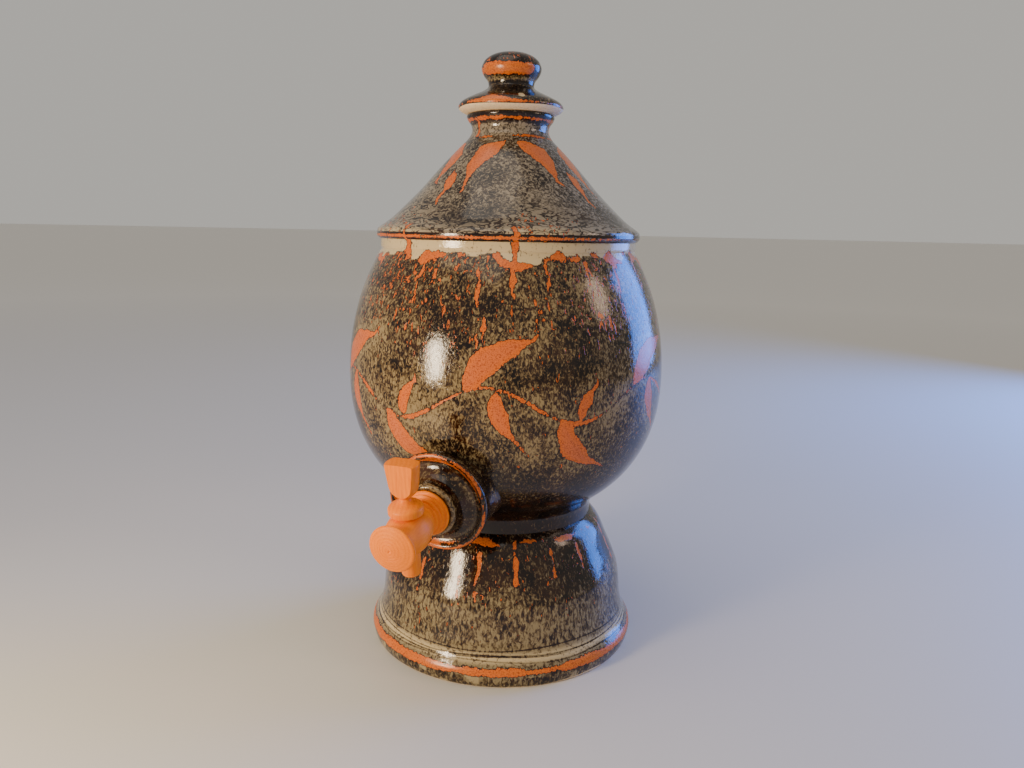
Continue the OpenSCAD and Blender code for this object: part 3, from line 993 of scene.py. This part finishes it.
    def vine(self, skin: Skin) -> None:
        """Marks a wavy stem with four plain leaves to each wave.

        Args:
            skin: the surface that takes the marks.
        """
        repeat, swing, middle = 60, 11, self.middle_z - 4
        phase = np.radians(skin.azimuth * 360 / repeat)
        steep = swing * (360 / repeat) / self.radius * np.cos(phase)
        off = np.abs(skin.height - middle - swing * np.sin(phase))
        skin.mark(0.62 + 0.5 * skin.crumple(9, 13) - off / np.hypot(1, steep))
        chance = np.random.default_rng(5)
        for k in range(360 // repeat):
            wander = chance.uniform(-1, 1, 8)
            crest, dip = repeat * (k + 0.25), repeat * (k + 0.75)
            skin.leaf(crest - 7, middle + 9, 34 + 5 * wander[0], 47 + 3 * wander[1], 16, 6, 6)
            skin.leaf(crest + 3, middle + 10, -70 + 8 * wander[2], 34 + 3 * wander[3], 11, -4, 14)
            skin.leaf(dip - 6, middle - 8, -44 + 5 * wander[4], 44 + 3 * wander[5], 14, -6, 8)
            skin.leaf(dip + 1, middle - 9, 66 + 8 * wander[6], 24 + 2 * wander[7], 8, 3, 4)


@dataclass
class Shoulder:
    """The thrown cone with its rolled ridge, and the neck with its beaded mouth."""

    globe: Globe
    ridge_r: float = 88.4
    neck_r: float = 25.5
    bead_r: float = 29.1
    height: float = 81.4
    wall: float = 5.5
    bore_r: float = 20

    @property
    def mouth_z(self) -> float:
        """Height of the mouth."""
        return self.globe.seam_z + self.height

    def outer(self) -> Outline:
        """The outer outline, from the ridge up to the mouth.

        Returns:
            Points of radius and height, in mm.
        """
        cone = [
            (0.9682, 0), (0.9936, 0.0197), (1, 0.0491), (0.9905, 0.0786), (0.9555, 0.102), (0.8887, 0.1376),
            (0.7965, 0.1966), (0.5533, 0.3808), (0.4118, 0.5037), (0.2671, 0.6265), (0.1097, 0.7494),
            (0.0477, 0.7985), (0.0095, 0.8428), (0, 0.8784), (0.0111, 0.9152),
        ]
        bead = [(0.694, 0.946), (1, 0.9754), (0.861, 0.9951), (0.417, 1)]
        return smooth(
            shares(cone, self.neck_r, self.ridge_r, self.globe.seam_z, self.mouth_z)
            + shares(bead, self.neck_r, self.bead_r, self.globe.seam_z, self.mouth_z)
        )

    def build(self) -> None:
        """Throws the shoulder and glazes it."""
        seam, mouth = self.globe.seam_z, self.mouth_z
        outer = self.outer()
        inner = between(even(inset(outer, self.wall), 4), seam + 6, mouth - 10.5)
        back = [(self.globe.seam_r - self.globe.wall, seam)] + inner + [
            (self.bore_r, mouth - 9), (self.bore_r, mouth - 1.5), (self.bore_r + 1.5, mouth)
        ]
        skin_line = refine(refine(even(outer, 0.85), seam, seam + 8, 3), mouth - 5, mouth - 0.5, 2)
        piece = turn("shoulder_skin", skin_line + back[::-1], 380, closed=True)
        self.glaze(Skin(piece, outer))
        glaze = IronGlaze("shoulder_iron_glaze", pale="#8a7e6b", middle="#433a2f", speck_mm=1.7, stretch=1.0)
        finish_piece(piece, glaze.material(), "shoulder", "pot")

    def glaze(self, skin: Skin) -> None:
        """Marks the shoulder: rust lines on ridge, neck and bead, hanging leaves, curdled glaze low down.

        Args:
            skin: the surface that takes the marks.
        """
        az, z = skin.azimuth, skin.height
        seam, mouth = self.globe.seam_z, self.mouth_z
        neck = mouth - 15.8
        inside = (skin.outward < 0.02) & (z < mouth - 0.4) & (z > seam + 0.3)
        # Rust line on the lower arris of the ridge, widest at the front
        front = np.clip(np.cos(np.radians(az + 5)) - 0.5, -0.8, 0.2)
        skin.line(seam + 2.3, 0.55 + 0.9 * front + 0.12 * skin.crumple(5, 21))
        skin.line(neck + 0.5 * skin.crumple(8, 22), 0.2 + 0.5 * skin.crumple(6, 23))
        skin.line(mouth - 4.6, 0.75 + 0.45 * skin.crumple(3.5, 24))
        skin.drips(
            (23.6, 286, 279, 4.0), (-24.5, 287, 279, 3.4), (139, 286, 279, 3.6), (235, 287, 279, 3.6),
            (-31, 355, 345, 2.6, 0.6), (96, 355, 346, 2.2, 0.4), (201, 355, 345, 2.6, -0.5),
        )
        # Pairs of leaves that hang from the neck line, with a bud between them
        for stalk in (21, 111, 201, 291):
            skin.leaf(stalk - 5, neck - 3.6, -122, 44, 12.5, -5, 10)
            skin.leaf(stalk + 9, neck - 3.6, -57, 41, 12, 5, 8)
            skin.leaf(stalk + 46, neck - 22.6, -84, 24, 7.5, 2, 8)
        low = ramp(z, 306, 292)
        cloudy = skin.crumple(22, 25)
        pale = 0.56 + 0.1 * cloudy - 0.1 * ramp(z, 325, 340) + 0.22 * ramp(z, 292, 286)
        for start, share in ((neck, 0.66), (mouth - 7.8, 0.2), (mouth - 3.2, 0.1)):
            pale = np.where(z > start, share, pale)
        for ring, half in ((seam + 0.7, 0.5), (seam + 3.9, 0.55)):
            pale = np.where(np.abs(z - ring) < half, -0.6, pale)
        flow = 0.92 * np.clip(low + 0.35 * cloudy * (z < 325) * (z > 290), 0, 1)
        bare = np.where((skin.upward > 0.8) & (z > mouth - 0.6), 2.0, COVERED)
        skin.store(pale, 0.42 + 0.2 * low + 0.12 * cloudy, flow, bare, inside)


@dataclass
class TapBoss:
    """The dished collar luted to the globe round the tap's hole."""

    globe: Globe
    drop: float = 45.4
    dip: float = 9.3
    hub_reach: float = 15.4
    rim_back: float = 10.6
    seat_back: float = 50.8
    dish_r: float = 31.6
    hole_r: float = 13.3
    lip_r: float = 16.4
    tube_r: float = 18.8
    skirt: float = 57.2
    seat_r: float = 20

    @property
    def axis(self) -> Matrix:
        """The tap's axis in the row's frame: +Z leads out of the pot and +Y up the key."""
        level = Matrix.Translation((0, 0, (self.globe.middle_z - self.drop) * MM))
        return level @ Matrix.Rotation(math.radians(90 + self.dip), 4, "X")

    @property
    def hub_s(self) -> float:
        """Distance along the tap's axis to the front of the hub."""
        return self.globe.radius + self.hub_reach

    @property
    def seat_s(self) -> float:
        """Distance along the tap's axis to the flat seat inside the globe."""
        return self.hub_s - self.seat_back

    def build(self) -> None:
        """Throws the boss, fits it to the globe and glazes it."""
        hub, rim, r = self.hub_s, self.hub_s - self.rim_back, self.dish_r
        end = rim - self.skirt
        lip = smooth([
            (self.hole_r, hub - 2), (self.hole_r + 0.2, hub - 0.7), (self.hole_r + 0.9, hub),
            (self.lip_r - 1, hub), (self.lip_r - 0.1, hub - 1), (self.lip_r + 0.1, hub - 3),
        ])
        dish = smooth([
            (self.lip_r - 0.2, hub - 5), (self.lip_r + 0.5, hub - 8.4), (self.lip_r + 2.6, rim - 0.9),
            (self.lip_r + 5.4, rim - 3), (r - 7, rim - 3.6), (r - 4.4, rim - 2.2), (r - 2.8, rim - 0.4),
            (r - 1.5, rim), (r - 0.3, rim - 0.9), (r, rim - 2.6), (r - 0.8, rim - 5), (r - 2.4, rim - 8),
            (r - 3.4, rim - 13), (r - 3, rim - 20), (r - 1.4, rim - 28), (r + 0.6, rim - 40), (r + 1.4, end),
        ])
        back = [
            (r - 5, end), (r - 8.4, rim - 20), (r - 8.8, rim - 11), (self.tube_r + 1, rim - 10),
            (self.tube_r, rim - 12), (self.tube_r, end), (self.hole_r, end), (self.hole_r, hub - 8),
        ]
        piece = turn("tap_boss_skin", even(lip + dish, 0.8) + back, 260, closed=True)
        self.glaze(Skin(piece, [(0, 0), (0, 200)]))
        place(piece, self.axis)
        body = [(0, self.globe.pedestal.height)] + even(self.globe.outer(), 3) + [(0, self.globe.seam_z)]
        carve(piece, turn("globe_body", body, 200))
        glaze = IronGlaze(
            "tap_boss_iron_glaze", dark="#140a06", brown="#3f2413", speck_mm=1.6, stretch=1.2, roughness=0.08
        )
        finish_piece(piece, glaze.material(), "tap_boss", "pot")

    def glaze(self, skin: Skin) -> None:
        """Marks the boss, whose azimuth 0 is its lower side: a painted highlight in rust colour on the rim's
        crest, rust inside the rim, and a pale lip.

        Args:
            skin: the surface that takes the marks.
        """
        s, radius, r = skin.height, skin.radius, self.dish_r
        hub, rim = self.hub_s, self.hub_s - self.rim_back
        front = s > rim - 3.2
        # A thin rust-coloured line round the rim's crest: a painted highlight.
        skin.mark(0.75 + 0.3 * skin.crumple(7, 31) - np.hypot(radius - (r - 1.0), s - rim))
        # A broad band inside the rim's upper half, and one spot on its lower side
        upper = np.abs(skin.turned_from(152))
        band = 1.9 - 1.6 * ramp(upper, 30, 42) + 0.5 * skin.crumple(8, 32)
        skin.mark(np.where(front, band, -9) - np.abs(radius - (r - 4.4)))
        spot = np.hypot(np.radians(skin.turned_from(-6)) * 30, (radius - (r - 2.4)) * 1.2)
        skin.mark(np.where(s > rim - 6, 4.2 + 0.6 * skin.crumple(5, 33) - spot, UNMARKED))
        streaks = np.clip((skin.crumple(4, 34) - 0.5) * 3, 0, 1) * (radius > self.lip_r + 3) * (upper < 70)
        pale = np.where(front, 0.2, 0.16) + 0.25 * streaks
        pale = np.where((radius < self.lip_r + 0.4) & (s > hub - 3), 0.66, pale)
        pale += 0.25 * hump(s, rim - 6, 2.0) * (radius > r - 3)
        skin.store(pale, np.where(s > rim - 9, 0.42, 0.2))


# ---- the lid ----


@dataclass
class Lid:
    """The lid, with the ring that holds it in the mouth, and its knob."""

    shoulder: Shoulder
    radius: float = 34.7
    height: float = 18.2
    ring_h: float = 13
    gap: float = 1.2
    knob_r: float = 19.7
    knob_foot_r: float = 15
    knob_h: float = 20.9

    @property
    def top_z(self) -> float:
        """Height where the knob is joined on."""
        return self.shoulder.mouth_z + self.height

    def build(self) -> None:
        """Throws the lid and its knob, and glazes their tops."""
        self.build_lid()
        self.build_knob()

    def build_lid(self) -> None:
        """The lid: glazed above, bare cream clay below."""
        mouth, ring_r = self.shoulder.mouth_z, self.shoulder.bore_r - self.gap
        side = [
            (0.6853, 0), (0.8477, 0.0659), (0.9543, 0.1374), (1, 0.2198), (0.9746, 0.3242), (0.8731, 0.4341),
            (0.7107, 0.533), (0.5076, 0.6374), (0.2792, 0.7473), (0.0964, 0.8571), (0.0203, 0.9341), (0, 1),
        ]
        top = smooth(shares(side, self.knob_foot_r, self.radius, mouth, self.top_z))
        bore, tip = ring_r - 5, mouth - self.ring_h
        ring = smooth([(bore, tip + 1), (bore + 1, tip), (ring_r - 1, tip), (ring_r, tip + 1)], 3)
        below = [(0, mouth + 7), (bore - 4, mouth + 6), (bore, mouth + 2)]
        piece = turn("lid_skin", below + ring + [(ring_r, mouth)] + even(top, 0.6) + [(0, self.top_z)], 300)
        skin = Skin(piece, top)
        z = skin.height
        # A rust crescent at the front, and a line that runs on round the rim
        half = 3.6 - 0.2 * np.abs(skin.round_from(-2)) + 0.4 * skin.crumple(5, 41)
        skin.mark(np.where(skin.upward > 0.05, half - np.abs(z - mouth - 4.9), UNMARKED))
        skin.line(mouth + 4.3, 0.3 + 0.35 * skin.crumple(9, 42))
        cream_spot = np.hypot(skin.round_from(33), (z - mouth - 8.6) * 1.6) < 2.2
        edge = mouth + 3.3 + 0.3 * skin.crumple(12, 44)
        skin.store(0.34 + 0.14 * skin.crumple(10, 43) + 1.0 * cream_spot, 0.4, bare=edge - z)
        glaze = IronGlaze("lid_iron_glaze", rust_thick="#cd7024", speck_mm=1.4, stretch=1.0, roughness=0.09)
        finish_piece(piece, glaze.material(), "lid", "lid")

    def build_knob(self) -> None:
        """The knob, with a rust band round its belly."""
        low, high = self.top_z, self.top_z + self.knob_h
        foot = [(0, 0), (0.064, 0.0957), (0.277, 0.1818), (0.617, 0.2775), (0.894, 0.3923)]
        cap = [(1, 0.512), (0.9746, 0.6172), (0.8934, 0.7512), (0.7107, 0.8804), (0.4315, 0.9713), (0, 1)]
        side = smooth(
            shares(foot, self.knob_foot_r, self.knob_r, low, high) + shares(cap, 0, self.knob_r, low, high)
        )
        piece = turn("lid_knob_skin", [(0, low)] + even(side, 0.6), 240)
        skin = Skin(piece, side)
        z = skin.height
        off = np.abs(skin.turned_from(12))
        band = 3.7 + 0.5 * skin.crumple(4, 51) - 1.6 * ramp(off, 50, 58)
        band = np.where(off > 58, 0.8 + 3.0 * skin.crumple(9, 52), band)
        skin.line(low + 8.6, np.where(skin.radius > 12, band, -5))
        pale = 0.16 + 0.5 * hump(z, low + 3.0, 1.3) + 0.1 * skin.crumple(7, 53)
        skin.store(np.where(z < low + 1.2, 0.0, pale), 0.5 + 0.26 * (z > low + 13))
        glaze = IronGlaze("knob_iron_glaze", rust_thick="#cd7024", speck_mm=1.4, stretch=1.2, roughness=0.09)
        finish_piece(piece, glaze.material(), "lid_knob", "lid")


# ---- the wooden tap ----


@dataclass
class Tap:
    """The turned spigot: the barrel with its threaded shank, and the key that turns in it."""

    boss: TapBoss
    shank_r: float = 12.3
    pitch: float = 4
    thread: float = 1.3
    flange_r: float = 14
    flange_t: float = 1.8
    rings: float = 8
    neck_r: float = 9.2
    belly_r: float = 12.7
    cove_r: float = 9.9
    disc_r: float = 13.8
    dome: float = 2.5
    front: float = 43.2
    key_back: float = 19.2
    shank: float = 74
    bore_r: float = 4
    plug_r: float = 6.5
    taper: float = 0.05
    collar_r: float = 10
    handle_h: float = 42.6
    handle_t: float = 10
    tip: float = 25.9
    outlet_r: float = 3
    washer_t: float = 1
    inner_washer_t: float = 3

    @property
    def seat_s(self) -> float:
        """Distance along the tap's axis to the front of the outer washer."""
        return self.boss.hub_s + self.washer_t

    @property
    def front_s(self) -> float:
        """Distance along the tap's axis to the edge of its end disc."""
        return self.seat_s + self.front

    @property
    def key_s(self) -> float:
        """Distance along the tap's axis to the key."""
        return self.front_s - self.key_back

    @property
    def key_axis(self) -> Matrix:
        """The key's axis in the row's frame, with +Z up the handle."""
        along = Matrix.Translation((0, 0, self.key_s * MM))
        return self.boss.axis @ along @ Matrix.Rotation(math.radians(-90), 4, "X")

    @property
    def collar_t(self) -> float:
        """Height of the collar's seat above the tap's axis."""
        return self.belly_r - 0.7

    def ridges(self, low: float, high: float, grow: float = 0.0) -> Outline:
        """Rounded thread crests and roots between two distances along the axis.

        Args:
            low: the first distance, in mm.
            high: the last distance, in mm.
            grow: mm added to each radius.

        Returns:
            Points of radius and distance, in mm.
        """
        count = int((high - low) // self.pitch)
        turns = [(0, 1), (0.13, 0.82), (0.25, 0.38), (0.38, 0.07)]
        turns += [(0.5, 0), (0.62, 0.07), (0.75, 0.38), (0.87, 0.82)]
        return [
            (self.shank_r + grow - self.thread * depth, low + (k + t) * self.pitch)
            for k in range(count) for t, depth in turns
        ]

    def build(self) -> None:
        """Turns the barrel and the key."""
        self.build_barrel()
        self.build_key()

    def build_barrel(self) -> None:
        """The barrel: shank, flange, stepped rings, belly, cove and a domed end disc with its tool rings."""
        start, seat, key, front = self.seat_s - self.shank, self.seat_s, self.key_s, self.front_s
        r, flange_r, disc_r = self.shank_r, self.flange_r, self.disc_r
        flange = seat + self.flange_t
        rings = flange + self.rings
        grip = self.boss.seat_s - self.inner_washer_t
        steps = [
            (0.04, -0.05), (0.1, 0.01), (0.27, 0.05), (0.35, 0.1), (0.27, 0.15), (0.23, 0.2), (0.24, 0.27),
            (0.38, 0.33), (0.56, 0.38), (0.58, 0.41), (0.5, 0.46), (0.48, 0.51), (0.52, 0.57), (0.66, 0.62),
            (0.8, 0.655), (0.81, 0.69), (0.74, 0.73), (0.73, 0.78), (0.8, 0.84), (0.95, 0.89), (1, 0.94),
        ]
        swell = [(0.1, 0.06), (0.5, 0.32), (0.86, 0.68), (1, 0.93)]
        cove = [(0.06, 0.1), (0.28, 0.28), (0.6, 0.47), (0.93, 0.66), (1, 0.77)]
        belly = smooth(
            shares(swell, self.neck_r, self.belly_r, rings, key)
            + shares(cove, self.belly_r, self.cove_r, key, front)
            + [(disc_r - 2.8, front - 3), (disc_r - 1, front - 2.4), (disc_r, front - 1.4),
               (disc_r - 0.3, front - 0.4), (disc_r - 1.4, front + 0.2)]
        )
        outline = (
            [(0, start), (r - 1.5, start), (r - self.thread, start + 1.5)]
            + self.ridges(start + 2, grip)
            + [(r, grip + 1), (r, seat), (flange_r - 0.4, seat), (flange_r - 0.1, seat + 0.1),
               (flange_r, seat + 0.4), (flange_r, flange - 0.6)]
            + shares(steps, flange_r, self.neck_r, flange, rings)
            + even(belly, 0.5)[:-1] + self.face(front)
        )
        axis = self.boss.axis
        piece = turn("tap_barrel_wood", outline, 160)
        place(piece, axis)
        carve(piece, rod("water_bore", self.bore_r, start - 1, key, axis, 48))
        carve(piece, rod("collar_seat", self.collar_r + 0.3, self.collar_t, 30, self.key_axis, 128))
        low, high = -self.belly_r - 1, self.belly_r + 1
        socket = [(self.plug_r + 0.05 + self.taper * end, end) for end in (low, high)]
        tool = turn("key_socket", [(0, low)] + socket + [(0, high)], 96)
        place(tool, self.key_axis)
        carve(piece, tool)
        wood = TurnedWood("barrel_turned_wood", pith=(1.2, -0.8), ring_mm=1.9)
        finish_piece(piece, wood.material(axis), "tap_barrel", "pot", 35)

    def face(self, front: float) -> Outline:
        """The end disc's dome, with fine tool rings near its middle and a centre pip.

        Args:
            front: the distance of the disc's front along the axis, in mm.

        Returns:
            Points of radius and distance, in mm.
        """
        rim = self.disc_r - 1.4
        points = [(rim, front + 0.2)]
        for share in (0.93, 0.86, 0.79, 0.72, 0.65):
            points.append((rim * share, front + self.dome * (1 - share**2)))
        grooves = ((7.2, 0.05), (5.9, 0.12), (5.1, 0.06), (4.2, 0.14), (3.4, 0.06), (2.5, 0.16), (1.7, 0.08))
        for ring_r, deep in grooves:
            level = front + self.dome * (1 - (ring_r / rim) ** 2)
            points += [(ring_r + 0.22, level - 0.02), (ring_r, level - deep), (ring_r - 0.22, level + 0.02)]
        top = front + self.dome
        return points + [(1.0, top - 0.05), (0.5, top - 0.45), (0, top - 0.8)]

    def build_key(self) -> None:
        """The key: tapered plug with its port and outlet, collar, neck and a handle with two sawn flats."""
        seat = self.collar_t + 0.3
        neck = self.collar_t + 9
        r, c, top, tip = self.plug_r, self.collar_r, self.handle_h, -self.tip
        collar = [
            (c - 0.5, seat), (c - 0.1, seat + 0.5), (c, seat + 1.4), (c, seat + 2.8), (c - 0.25, seat + 3.9),
            (c - 1.1, seat + 4.9), (7.6, seat + 5.7),
        ]
        handle = [
            (5.4, neck - 2), (3.7, neck - 0.8), (3.15, neck + 0.2), (3.3, neck + 0.9), (4.1, neck + 1.8),
            (5.6, neck + 2.9), (7.4, neck + 5.2), (8.3, neck + 8.4), (8.9, top - 8), (9.6, top - 1.6),
            (9.3, top - 0.5),
        ]
        plug = [
            (0, tip), (r - 2.2, tip), (r - 1.5, tip + 0.3), (r - 1.0, tip + 1.2), (r - self.taper * 14, -14),
            (r + self.taper * seat, seat), (c - 0.7, seat),
        ]
        outline = plug + smooth(collar + handle) + [(8.0, top - 0.1), (4, top), (0, top)]
        piece = turn("tap_key_wood", outline, 128)
        self.saw_flats(piece, neck)
        place(piece, self.key_axis)
        carve(piece, rod("outlet", self.outlet_r, tip - 1, self.outlet_r, self.key_axis, 48))
        across = self.key_axis @ Matrix.Rotation(math.radians(90), 4, "Y")
        carve(piece, rod("port", self.outlet_r, 0, r * 2, across, 48))
        wood = TurnedWood("key_turned_wood")
        finish_piece(piece, wood.material(self.key_axis), "tap_key", "key", 35)

    def saw_flats(self, piece: bpy.types.Object, low: float) -> None:
        """Saws the two flats of the handle, above the neck only.

        Args:
            piece: the turned key, on its own axis.
            low: height where the handle starts, in mm.
        """
        wide, thick, high = 40, 20, 50
        for side in (-1, 1):
            saw = solid("saw", bpy.ops.mesh.primitive_cube_add, size=1)
            middle = Vector((0, side * (self.handle_t + thick) / 2, low + high / 2)) * MM
            place(saw, Matrix.LocRotScale(middle, None, Vector((wide, thick, high)) * MM))
            carve(piece, saw)


@dataclass
class Seals:
    """What holds the tap tight: the washers on both sides of the wall, and the wooden nut."""

    tap: Tap
    outer_r: float = 13.2
    inner_r: float = 18
    nut_t: float = 14
    nut_af: float = 33

    def washer(self, name: str, node: str, low: float, thick: float, radius: float) -> None:
        """Cuts one washer, with softened edges.

        Args:
            name: the piece's name.
            node: the CAD node that it stands for.
            low: where it starts along the axis, in mm.
            thick: its thickness, in mm.
            radius: its outer radius, in mm.
        """
        bore, e, top = self.tap.shank_r + 0.1, 0.25, low + thick
        outline = [
            (bore, low), (radius - e, low), (radius - e * 0.3, low + e * 0.3), (radius, low + e),
            (radius, top - e), (radius - e * 0.3, top - e * 0.3), (radius - e, top), (bore, top),
        ]
        piece = turn(name, outline, 128, closed=True)
        place(piece, self.tap.boss.axis)
        finish_piece(piece, Rubber(f"{node}_cut_rubber").material(), node, "pot", 60)

    def build(self) -> None:
        """Makes both washers and the nut."""
        boss, tap = self.tap.boss, self.tap
        inner_s = boss.seat_s - tap.inner_washer_t
        self.washer("outer_washer_ring", "outer_washer", boss.hub_s, tap.washer_t, self.outer_r)
        self.washer("inner_washer_ring", "inner_washer", inner_s, tap.inner_washer_t, self.inner_r)
        self.build_nut(inner_s - self.nut_t)

    def build_nut(self, low: float) -> None:
        """Cuts the hexagonal nut: chamfered corners and a threaded bore.

        Args:
            low: where it starts along the axis, in mm.
        """
        tap, axis, high = self.tap, self.tap.boss.axis, low + self.nut_t
        corner = self.nut_af / math.sqrt(3)
        piece = rod("tap_nut_wood", corner, low, high, Matrix(), 6)
        edit_all()
        bpy.ops.mesh.bevel(offset=0.5 * MM, segments=2, affect="EDGES")
        bpy.ops.object.mode_set(mode="OBJECT")
        chamfered = [
            (0, low - 0.1), (corner - 2.6, low), (corner, low + 1.6),
            (corner, high - 1.6), (corner - 2.6, high), (0, high + 0.1),
        ]
        carve(piece, turn("corners", chamfered, 96), "INTERSECT")
        ridges = tap.ridges(tap.seat_s - tap.shank + 2, tap.boss.seat_s - tap.inner_washer_t, 0.1)
        mouth = tap.shank_r + 0.1
        bore = [(mouth, low - 1)] + between(ridges, low + 0.2, high - 0.2) + [(mouth, high + 1)]
        carve(piece, turn("nut_bore", [(0, low - 1)] + bore + [(0, high + 1)], 96))
        place(piece, axis)
        wood = TurnedWood("nut_sawn_wood", tool_mm=1.4)
        finish_piece(piece, wood.material(axis), "tap_nut", "pot", 35)


# ---- the studio ----


@dataclass
class Softbox:
    """A soft lamp that faces the middle of the globe. Its sizes are in metres."""

    name: str
    azimuth: float
    elevation: float
    reach: float
    size: tuple[float, float]
    power: float
    colour: str
    round_lamp: bool = False
    aim_z: float = 0.19

    def build(self) -> None:
        """Hangs the lamp at its bearing from the globe's middle, out of the camera's sight."""
        light = bpy.data.lights.new(self.name, "AREA")
        light.shape = "ELLIPSE" if self.round_lamp else "RECTANGLE"
        light.size, light.size_y = self.size
        light.energy = self.power
        light.color = linear(self.colour)[:3]
        lamp = bpy.data.objects.new(self.name, light)
        az, el = math.radians(self.azimuth), math.radians(self.elevation)
        out = Vector((math.sin(az) * math.cos(el), -math.cos(az) * math.cos(el), math.sin(el)))
        lamp.location = Vector((0, 0, self.aim_z)) + out * self.reach
        lamp.rotation_euler = out.to_track_quat("Z", "Y").to_euler()
        lamp.visible_camera = False
        bpy.context.scene.collection.objects.link(lamp)
        log.info("lamp %s at azimuth %.0f", self.name, self.azimuth)


@dataclass
class Studio:
    """A plain pale floor, soft light, and the camera where the photograph was taken, in mm from the foot."""

    azimuth: float = 21.0
    reach: float = 560.35
    height: float = 286.3
    dip: float = 10.81
    yaw: float = 0.455
    roll: float = 1.184
    focal_px: float = 810
    width_px: float = 1024
    sensor: float = 36
    floor: str = "#cfccc6"
    far_floor: str = "#f2efe9"
    wall: str = "#b9b6b0"
    fill: str = "#fff8ee"

    def build(self) -> None:
        """Sets up the camera, the floor, the lamps and the surroundings."""
        self.build_camera()
        self.build_floor()
        self.build_world()
        for lamp in (
            Softbox("key", -25, 5, 0.67, (0.17, 0.25), 2.2, "#ffe0b4", round_lamp=True),
            Softbox("key_core", -25, 5, 0.665, (0.11, 0.19), 2.2, "#ffeacd", round_lamp=True),
            Softbox("window", 136, 12, 1.5, (0.75, 0.9), 28, "#4488ff"),
            Softbox("curtain", 97, 27, 1.5, (0.28, 0.42), 3.0, "#ffdcc0"),
            Softbox("overhead", -20, 70, 1.5, (1.3, 1.3), 8, "#fff4e6"),
        ):
            lamp.build()

    def build_camera(self) -> None:
        """The camera, fitted to the rings of the pot in the photograph."""
        camera = bpy.data.cameras.new("camera")
        camera.sensor_fit = "HORIZONTAL"
        camera.sensor_width = self.sensor
        camera.lens = self.focal_px / self.width_px * self.sensor
        camera.clip_start = 0.01
        eye = bpy.data.objects.new("camera", camera)
        heading = math.radians(self.azimuth)
        spot = Vector((math.sin(heading) * self.reach, -math.cos(heading) * self.reach, self.height)) * MM
        look = (
            Matrix.Rotation(math.radians(self.azimuth - self.yaw), 4, "Z")
            @ Matrix.Rotation(math.radians(90 - self.dip), 4, "X")
            @ Matrix.Rotation(math.radians(self.roll), 4, "Z")
        )
        eye.matrix_world = Matrix.Translation(spot) @ look
        bpy.context.scene.collection.objects.link(eye)
        bpy.context.scene.camera = eye

    def build_floor(self) -> None:
        """The floor: a wide pale sheet."""
        floor = solid("floor", bpy.ops.mesh.primitive_circle_add, vertices=96, radius=60, fill_type="NGON")
        material, node = new_material("pale_floor")
        # Paler far off, where the lamps reach less, so that it looks even
        place_of = node("TexCoord", output="Object")
        away = node("VectorMath", {0: place_of}, "Value", operation="LENGTH")
        away = node("MapRange", {0: away, 1: 0.5, 2: 3.0})
        colour = node("Mix", {0: away, 6: self.floor, 7: self.far_floor}, 2, data_type="RGBA")
        shader = node("BsdfPrincipled", {"Base Color": colour, "Roughness": 0.6})
        node("OutputMaterial", {"Surface": shader})
        floor.data.materials.append(material)

    def build_world(self) -> None:
        """Even, dim surroundings that light the pot, and a pale wall for the camera."""
        world = bpy.data.worlds.new("studio")
        bpy.context.scene.world = world
        world.use_nodes = True
        world.node_tree.nodes.clear()
        node = partial(add, world.node_tree)
        fill = node("Background", {"Color": self.fill, "Strength": 0.42})
        wall = node("Background", {"Color": self.wall, "Strength": 1.0})
        direct = 0.0
        for ray in ("Is Camera Ray", "Is Glossy Ray", "Is Transmission Ray"):
            seen = node("LightPath", output=ray)
            direct = node("Math", {0: direct, 1: seen}, operation="MAXIMUM")
        both = node("MixShader", {0: direct, 1: fill, 2: wall})
        node("OutputWorld", {"Surface": both})


def main() -> None:
    """Builds the studio and the pot in order."""
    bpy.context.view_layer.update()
    Studio().build()
    pedestal = Pedestal()
    globe = Globe(pedestal)
    shoulder = Shoulder(globe)
    boss = TapBoss(globe)
    tap = Tap(boss)
    pedestal.build()
    globe.build(boss.axis, boss.hole_r, (boss.seat_r, boss.seat_s))
    shoulder.build()
    boss.build()
    Lid(shoulder).build()
    tap.build()
    Seals(tap).build()
    deselect_all()


if __name__ == "__main__":
    main()
